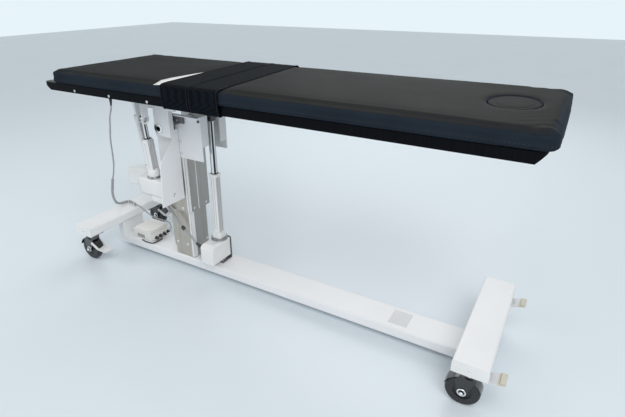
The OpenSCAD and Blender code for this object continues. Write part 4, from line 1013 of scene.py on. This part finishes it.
def makeCasters(d):
    nut, ring, cap = d["hubNut"], d["hubRing"], d["hubCap"]
    for corner in ("head_near", "head_far", "foot_near", "foot_far"):
        low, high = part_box("fork_" + corner)
        wheelLow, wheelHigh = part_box("wheel_" + corner)
        hub = (wheelLow + wheelHigh) / 2
        nuts = []
        for face, out in ((low.y, -1), (high.y, 1)):
            axis = (0, out, 0)
            places = [(hub.x, face + out * away, hub.z) for away in (-ring["sunk"], -nut["sunk"], cap["out"])]
            nuts.append(ringBand(places[0], axis, ring["inner"], ring["outer"], ring["height"]))
            nuts.append(hexPrism(places[1], axis, nut["radius"], nut["height"]))
            nuts.append(domeHead(places[2], axis, cap["radius"], cap["height"]))
        addJoined("fork_" + corner + "_nuts", nuts, "chrome", "fork_" + corner)


actuatorData = {
    "base": (-0.573, -0.150, 0.470),  # lower pin of the roll actuator
    "top": (-0.573, -0.178, 0.835),  # its upper pin
    "tiltBase": (-0.761, 0, 0.44),
    "tiltTop": (-0.829, 0, 0.868),
    "sealAt": {"tilt": 0.3479, "roll": 0.2699},  # up from the lower pin
    "seal": (0.0113, 0.0150, 0.003),  # inner and outer radius, height
    "liftSeal": (0.0159, 0.0188, 0.003),
    "sealSunk": 0.0002,
    "profile": (0.0202, 0.0042, 0.0022),  # half side of the tube, half width and depth of its grooves
    "shell": (0.120, 0.264),
    "ring": (0.0742, 0.0200, 0.0338, 0.0106, 0.42),  # start, radii, height of the pair, share of one
    "collar": [(0.0305, 0.0848), (0.0312, 0.088), (0.0300, 0.104), (0.0262, 0.117), (0.0215, 0.1215)],
    "blocks": [((-0.084, -0.037, -0.018), (0.094, 0.037, 0.0742)),
               ((-0.020, -0.034, -0.054), (0.090, 0.034, -0.010))],
    "bevel": 0.012,
    "pin": (0.0815, 0.1055, 0.010),
    "groove": {"shift": 0.0065, "half": 0.0011, "deep": 0.0004, "low": 0.012, "high": 0.004, "bevel": 0.0001},
}


def makeSeals(d):
    low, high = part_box("lift_gland")
    place = ((low.x + high.x) / 2, (low.y + high.y) / 2, high.z - d["sealSunk"])
    ring = ringBand(place, (0, 0, 1), *d["liftSeal"])
    addJoined("liftSeal", [ring], "socket_black", "base", "black_plastic")
    for name, base, top in (("tilt", d["tiltBase"], d["tiltTop"]), ("roll", d["base"], d["top"])):
        along = (Vector(top) - Vector(base)).normalized()
        ring = ringBand(Vector(base) + along * d["sealAt"][name], along, *d["seal"])
        addJoined(name + "Seal", [ring], "socket_black", name + "_cylinder", "black_plastic")


def squareProfile(half, groove, depth):
    quarter = [(half, -half * 0.72), (half, -groove), (half - depth, -groove), (half - depth, groove),
               (half, groove), (half, half * 0.72), (half * 0.93, half * 0.93), (half * 0.72, half)]
    return [(x * c - y * s, x * s + y * c) for c, s in ((1, 0), (0, 1), (-1, 0), (0, -1)) for x, y in quarter]


def extruded(profile, start, end, side):
    along = (end - start).normalized()
    side = (Vector(side) - along * Vector(side).dot(along)).normalized()
    points = [p + side * x + along.cross(side) * y for p in (start, end) for x, y in profile]
    return points, skin(2, len(profile))


def makeRollActuator(d):
    base, top = Vector(d["base"]), Vector(d["top"])
    along = (top - base).normalized()
    lean = Matrix.Rotation(math.atan2(base.y - top.y, top.z - base.z), 4, "X")
    start, end = (base + along * h for h in d["shell"])
    shell = extruded(squareProfile(*d["profile"]), start, end, (1, 0, 0))
    addJoined("rollShell", [shell], "white_tube", "roll_cylinder", smooth=False)
    start, inner, outer, height, share = d["ring"]
    rings = [ringBand(base + along * (start + k * height / 2), along, inner, outer, height * share)
             for k in range(2)]
    addJoined("rollRing", rings, "ring_steel", "roll_cylinder", "chrome")
    addJoined("rollCollar", [latheMesh(d["collar"], base, along)], "white_plastic", "roll_cylinder")
    parts = [boxPart(low, high, d["bevel"]) for low, high in d["blocks"]]
    parts = [([base + lean @ p for p in points], faces) for points, faces in parts]
    first, last, radius = d["pin"]
    parts.append(latheMesh([(radius, first), (radius, last)], base, (1, 0, 0)))
    housing = addJoined("rollHousing", parts, "white_plastic", "roll_cylinder")
    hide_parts("roll_motor")


def makeLiftGrooves(d):
    low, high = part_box("lift_tube")
    bottom, top = low.z + d["low"], high.z - d["high"]
    middle, grooves = (low.x + high.x) / 2, []
    for shift in (-d["shift"], d["shift"]):
        spots = [(x, shift, d["deep"], d["half"]) for x in (low.x, high.x)]
        for x, y, halfX, halfY in spots + [(middle + shift, low.y, d["half"], d["deep"])]:
            grooves.append(boxPart((x - halfX, y - halfY, bottom), (x + halfX, y + halfY, top), d["bevel"]))
    addJoined("liftGrooves", grooves, "brushed", "base")


# painted highlights: thin white strips down the column's rounded near corner and one line on the sleeve's +X
# face; x from its +X side, y from its near side, each start and end
columnHighlightData = {
    "post": {"node": "column_post", "body": "base", "ends": (0.004, -0.004), "bevel": 0.0005,
             "strips": [((-0.012, 0.0008), (-0.0008, 0.0005)), ((-0.0005, 0.0008), (-0.0008, 0.026))]},
    "sleeve": {"node": "sleeve", "body": "carriage", "ends": (0.001, -0.1), "bevel": 0.0004,
               "strips": [((-0.014, -0.006), (-0.0008, 0.0005)), ((-0.0005, 0.0006), (-0.0004, 0.014)),
                          ((-0.0005, 0.0008), (0.066, 0.0705))]},
}


# painted highlights: thin white boxes stand for the light caught along the column's corner and side
def makeColumnHighlights(d):
    for name, strip in d.items():
        low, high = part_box(strip["node"])
        bottom, top = low.z + strip["ends"][0], high.z + strip["ends"][1]
        parts = []
        for (x0, x1), (y0, y1) in strip["strips"]:
            parts.append(boxPart((high.x + x0, low.y + y0, bottom), (high.x + x1, low.y + y1, top),
                                 strip["bevel"]))
        addJoined(name + "Strip", parts, "white_paint", strip["body"], smooth=False)


def makeBoxLoop(d):
    low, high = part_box("control_box")
    route = [(low.x + x, low.y + y, z) for x, y, z in d["seal"]]
    path = smoothRoute(route + [(high.x + x, low.y + y, z) for x, y, z in d["sealEnd"]], 6)
    addMesh("boxSeal", *tubeMesh(path, [d["sealRadius"]] * len(path), 12), "socket_black", "base", True,
            "black_plastic")
    (x0, y0, z0), (x1, y1, z1) = d["flange"]["low"], d["flange"]["high"]
    flange = boxPart((low.x + x0, low.y + y0, z0), (high.x + x1, high.y + y1, z1), d["flange"]["bevel"])
    addJoined("boxFlange", [flange], "white_paint", "base", smooth=False)


def makePedalPads(d):
    for side in ("near", "far"):
        low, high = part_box("pedal_foot_" + side)
        pad = boxPart((high.x - d["long"], low.y + d["side"], high.z - d["sunk"]),
                      (high.x - d["end"], high.y - d["side"], high.z + d["out"]), d["out"])
        addJoined("pedalPad_" + side, [pad], "pedal_beige", "pedal_foot_" + side, "pedal_beige")


def makeTrayCore(d):
    (low, high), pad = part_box("tray"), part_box("mattress")
    core = boxPart((low.x + d["end"], low.y + d["side"], high.z - d["sunk"]),
                   (pad[0].x + d["under"], high.y - d["side"], high.z + d["out"]), d["bevel"])
    addJoined("trayCore", [core], "core", "table_top", "carbon", False)


bootData = {
    "tray": {"points": 8, "steps": 6, "wide": 0.0075, "narrow": 0.0038, "rib": 0.0006},
    "socket": {"points": 9, "steps": 7, "wide": 0.0075, "narrow": 0.0038, "rib": 0.0005},
    "motor": {"points": 9, "steps": 7, "wide": 0.0105, "narrow": 0.0063, "rib": 0.0006},
    "clips": (60, 68),  # points of the low cable's route
    "clip": {"half": 0.005, "wide": 0.0125, "bed": (0.2139, 0.2185), "foot": 0.2145, "arch": 0.0088,
             "wire": 0.0016, "down": 0.0005, "bevel": 0.0012},
}


def addBoot(name, route, d, body=None):
    route = route[:d["points"]]
    radii = [d["wide"] - (d["wide"] - d["narrow"]) * min(1, k / d["steps"]) + (d["rib"] if k % 2 else 0)
             for k in range(len(route))]
    return addMesh(name, *tubeMesh(route, radii), "socket_black", body, True, "cable_sheath")


def makeBoots(d):
    boot = addBoot("trayBoot", topRoute, d["tray"])
    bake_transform(boot)
    addBoot("socketBoot", lowRoute[::-1], d["socket"], "base")
    boot = addBoot("motorBoot", liftRoute[::-1], d["motor"])
    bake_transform(boot)
    clips, clip = [], d["clip"]
    bed, span = clip["bed"], clip["arch"]
    for p in (lowRoute[k] for k in d["clips"]):
        clips.append(boxPart((p.x - clip["half"], p.y - clip["wide"], bed[0]),
                             (p.x + clip["half"], p.y + clip["wide"], bed[1]), clip["bevel"]))
        turns = (math.pi * j / 12 for j in range(13))
        low = p.z - clip["down"]
        arch = [Vector((p.x, p.y + span * math.cos(w), low + span * math.sin(w))) for w in turns]
        arch = [Vector((p.x, p.y + span, clip["foot"])), *arch, Vector((p.x, p.y - span, clip["foot"]))]
        clips.append(tubeMesh(arch, [clip["wire"]] * len(arch), 10))
    addJoined("cableClips", clips, "white_plastic", "base")


makeLidScrews(hardwareData["lidScrew"])
makeBoxDetails(boxData)
makeBolts(hardwareData)
makeCasters(hardwareData)
makeSeals(actuatorData)
makeRollActuator(actuatorData)
makeLiftGrooves(actuatorData["groove"])
makeColumnHighlights(columnHighlightData)
makeBoxLoop(boxData)
makeTrayCore(hardwareData["tray"])
makePedalPads(hardwareData["pedalPad"])
makeBoots(bootData)
addJoined("blankFilm", [boxPart(*hardwareData["film"])], "film", "base", "white_paint")
print("hardware made")


# floor, light and background
stageData = {
    "floorColour": (0.74, 0.81, 0.86),
    "skyLight": (0.96, 0.98, 1.0),
    "skySeen": (0.80, 0.90, 0.95),
    "skyStrength": (0.55, 1.0),  # as light, as seen
    "floorSize": 30,
    "floorRough": (0.28, 0.4),
    "key": {"place": (2.2, -2.6, 3.6), "size": 3.0, "power": 105, "aim": (-0.1, 0, 0.6)},
    "fill": {"place": (-3.2, -2.4, 2.6), "size": 3.0, "power": 30, "aim": (-0.3, 0, 0.5)},
    "back": {"place": (-0.6, 3.4, 2.8), "size": 3.0, "power": 40, "aim": (0, 0, 0.7)},
}


def addLamp(name, d):
    data = bpy.data.lights.new(name, "AREA")
    data.size = d["size"]
    data.energy = d["power"]
    lamp = addObject(name, data)
    lamp.location = d["place"]
    aim = Vector(d["aim"]) - Vector(d["place"])
    lamp.rotation_euler = aim.to_track_quat("-Z", "Y").to_euler()


def makeStage(d):
    mat, tree, shader = startMaterial("floorPaint", d["floorColour"], 0.32)
    cloud = addNoise(tree, objectCoords(tree), 1.5, 2)
    tree.links.new(addRange(tree, cloud, *d["floorRough"]), shader.inputs["Roughness"])
    bpy.ops.mesh.primitive_plane_add(size=d["floorSize"], location=(0, 0, -0.0004))
    floor = bpy.context.object
    floor.name = "floor"
    floor.data.materials.append(mat)
    for name in ("key", "fill", "back"):
        addLamp(name, d[name])
    world = bpy.data.worlds.new("world")
    bpy.context.scene.world = world
    world.use_nodes = True
    tree = world.node_tree
    background = tree.nodes["Background"]
    path = tree.nodes.new("ShaderNodeLightPath")
    seen = addMath(tree, "MAXIMUM", path.outputs["Is Camera Ray"], path.outputs["Is Glossy Ray"])
    seen = addMath(tree, "MAXIMUM", seen, path.outputs["Is Transmission Ray"])
    tree.links.new(addRange(tree, seen, *d["skyStrength"]), background.inputs["Strength"])
    sky = addRamp(tree, seen, 0, 1, (d["skyLight"], d["skySeen"]))
    tree.links.new(sky, background.inputs["Color"])
    bpy.context.scene.view_settings.view_transform = "Standard"


makeStage(stageData)
print("stage set")
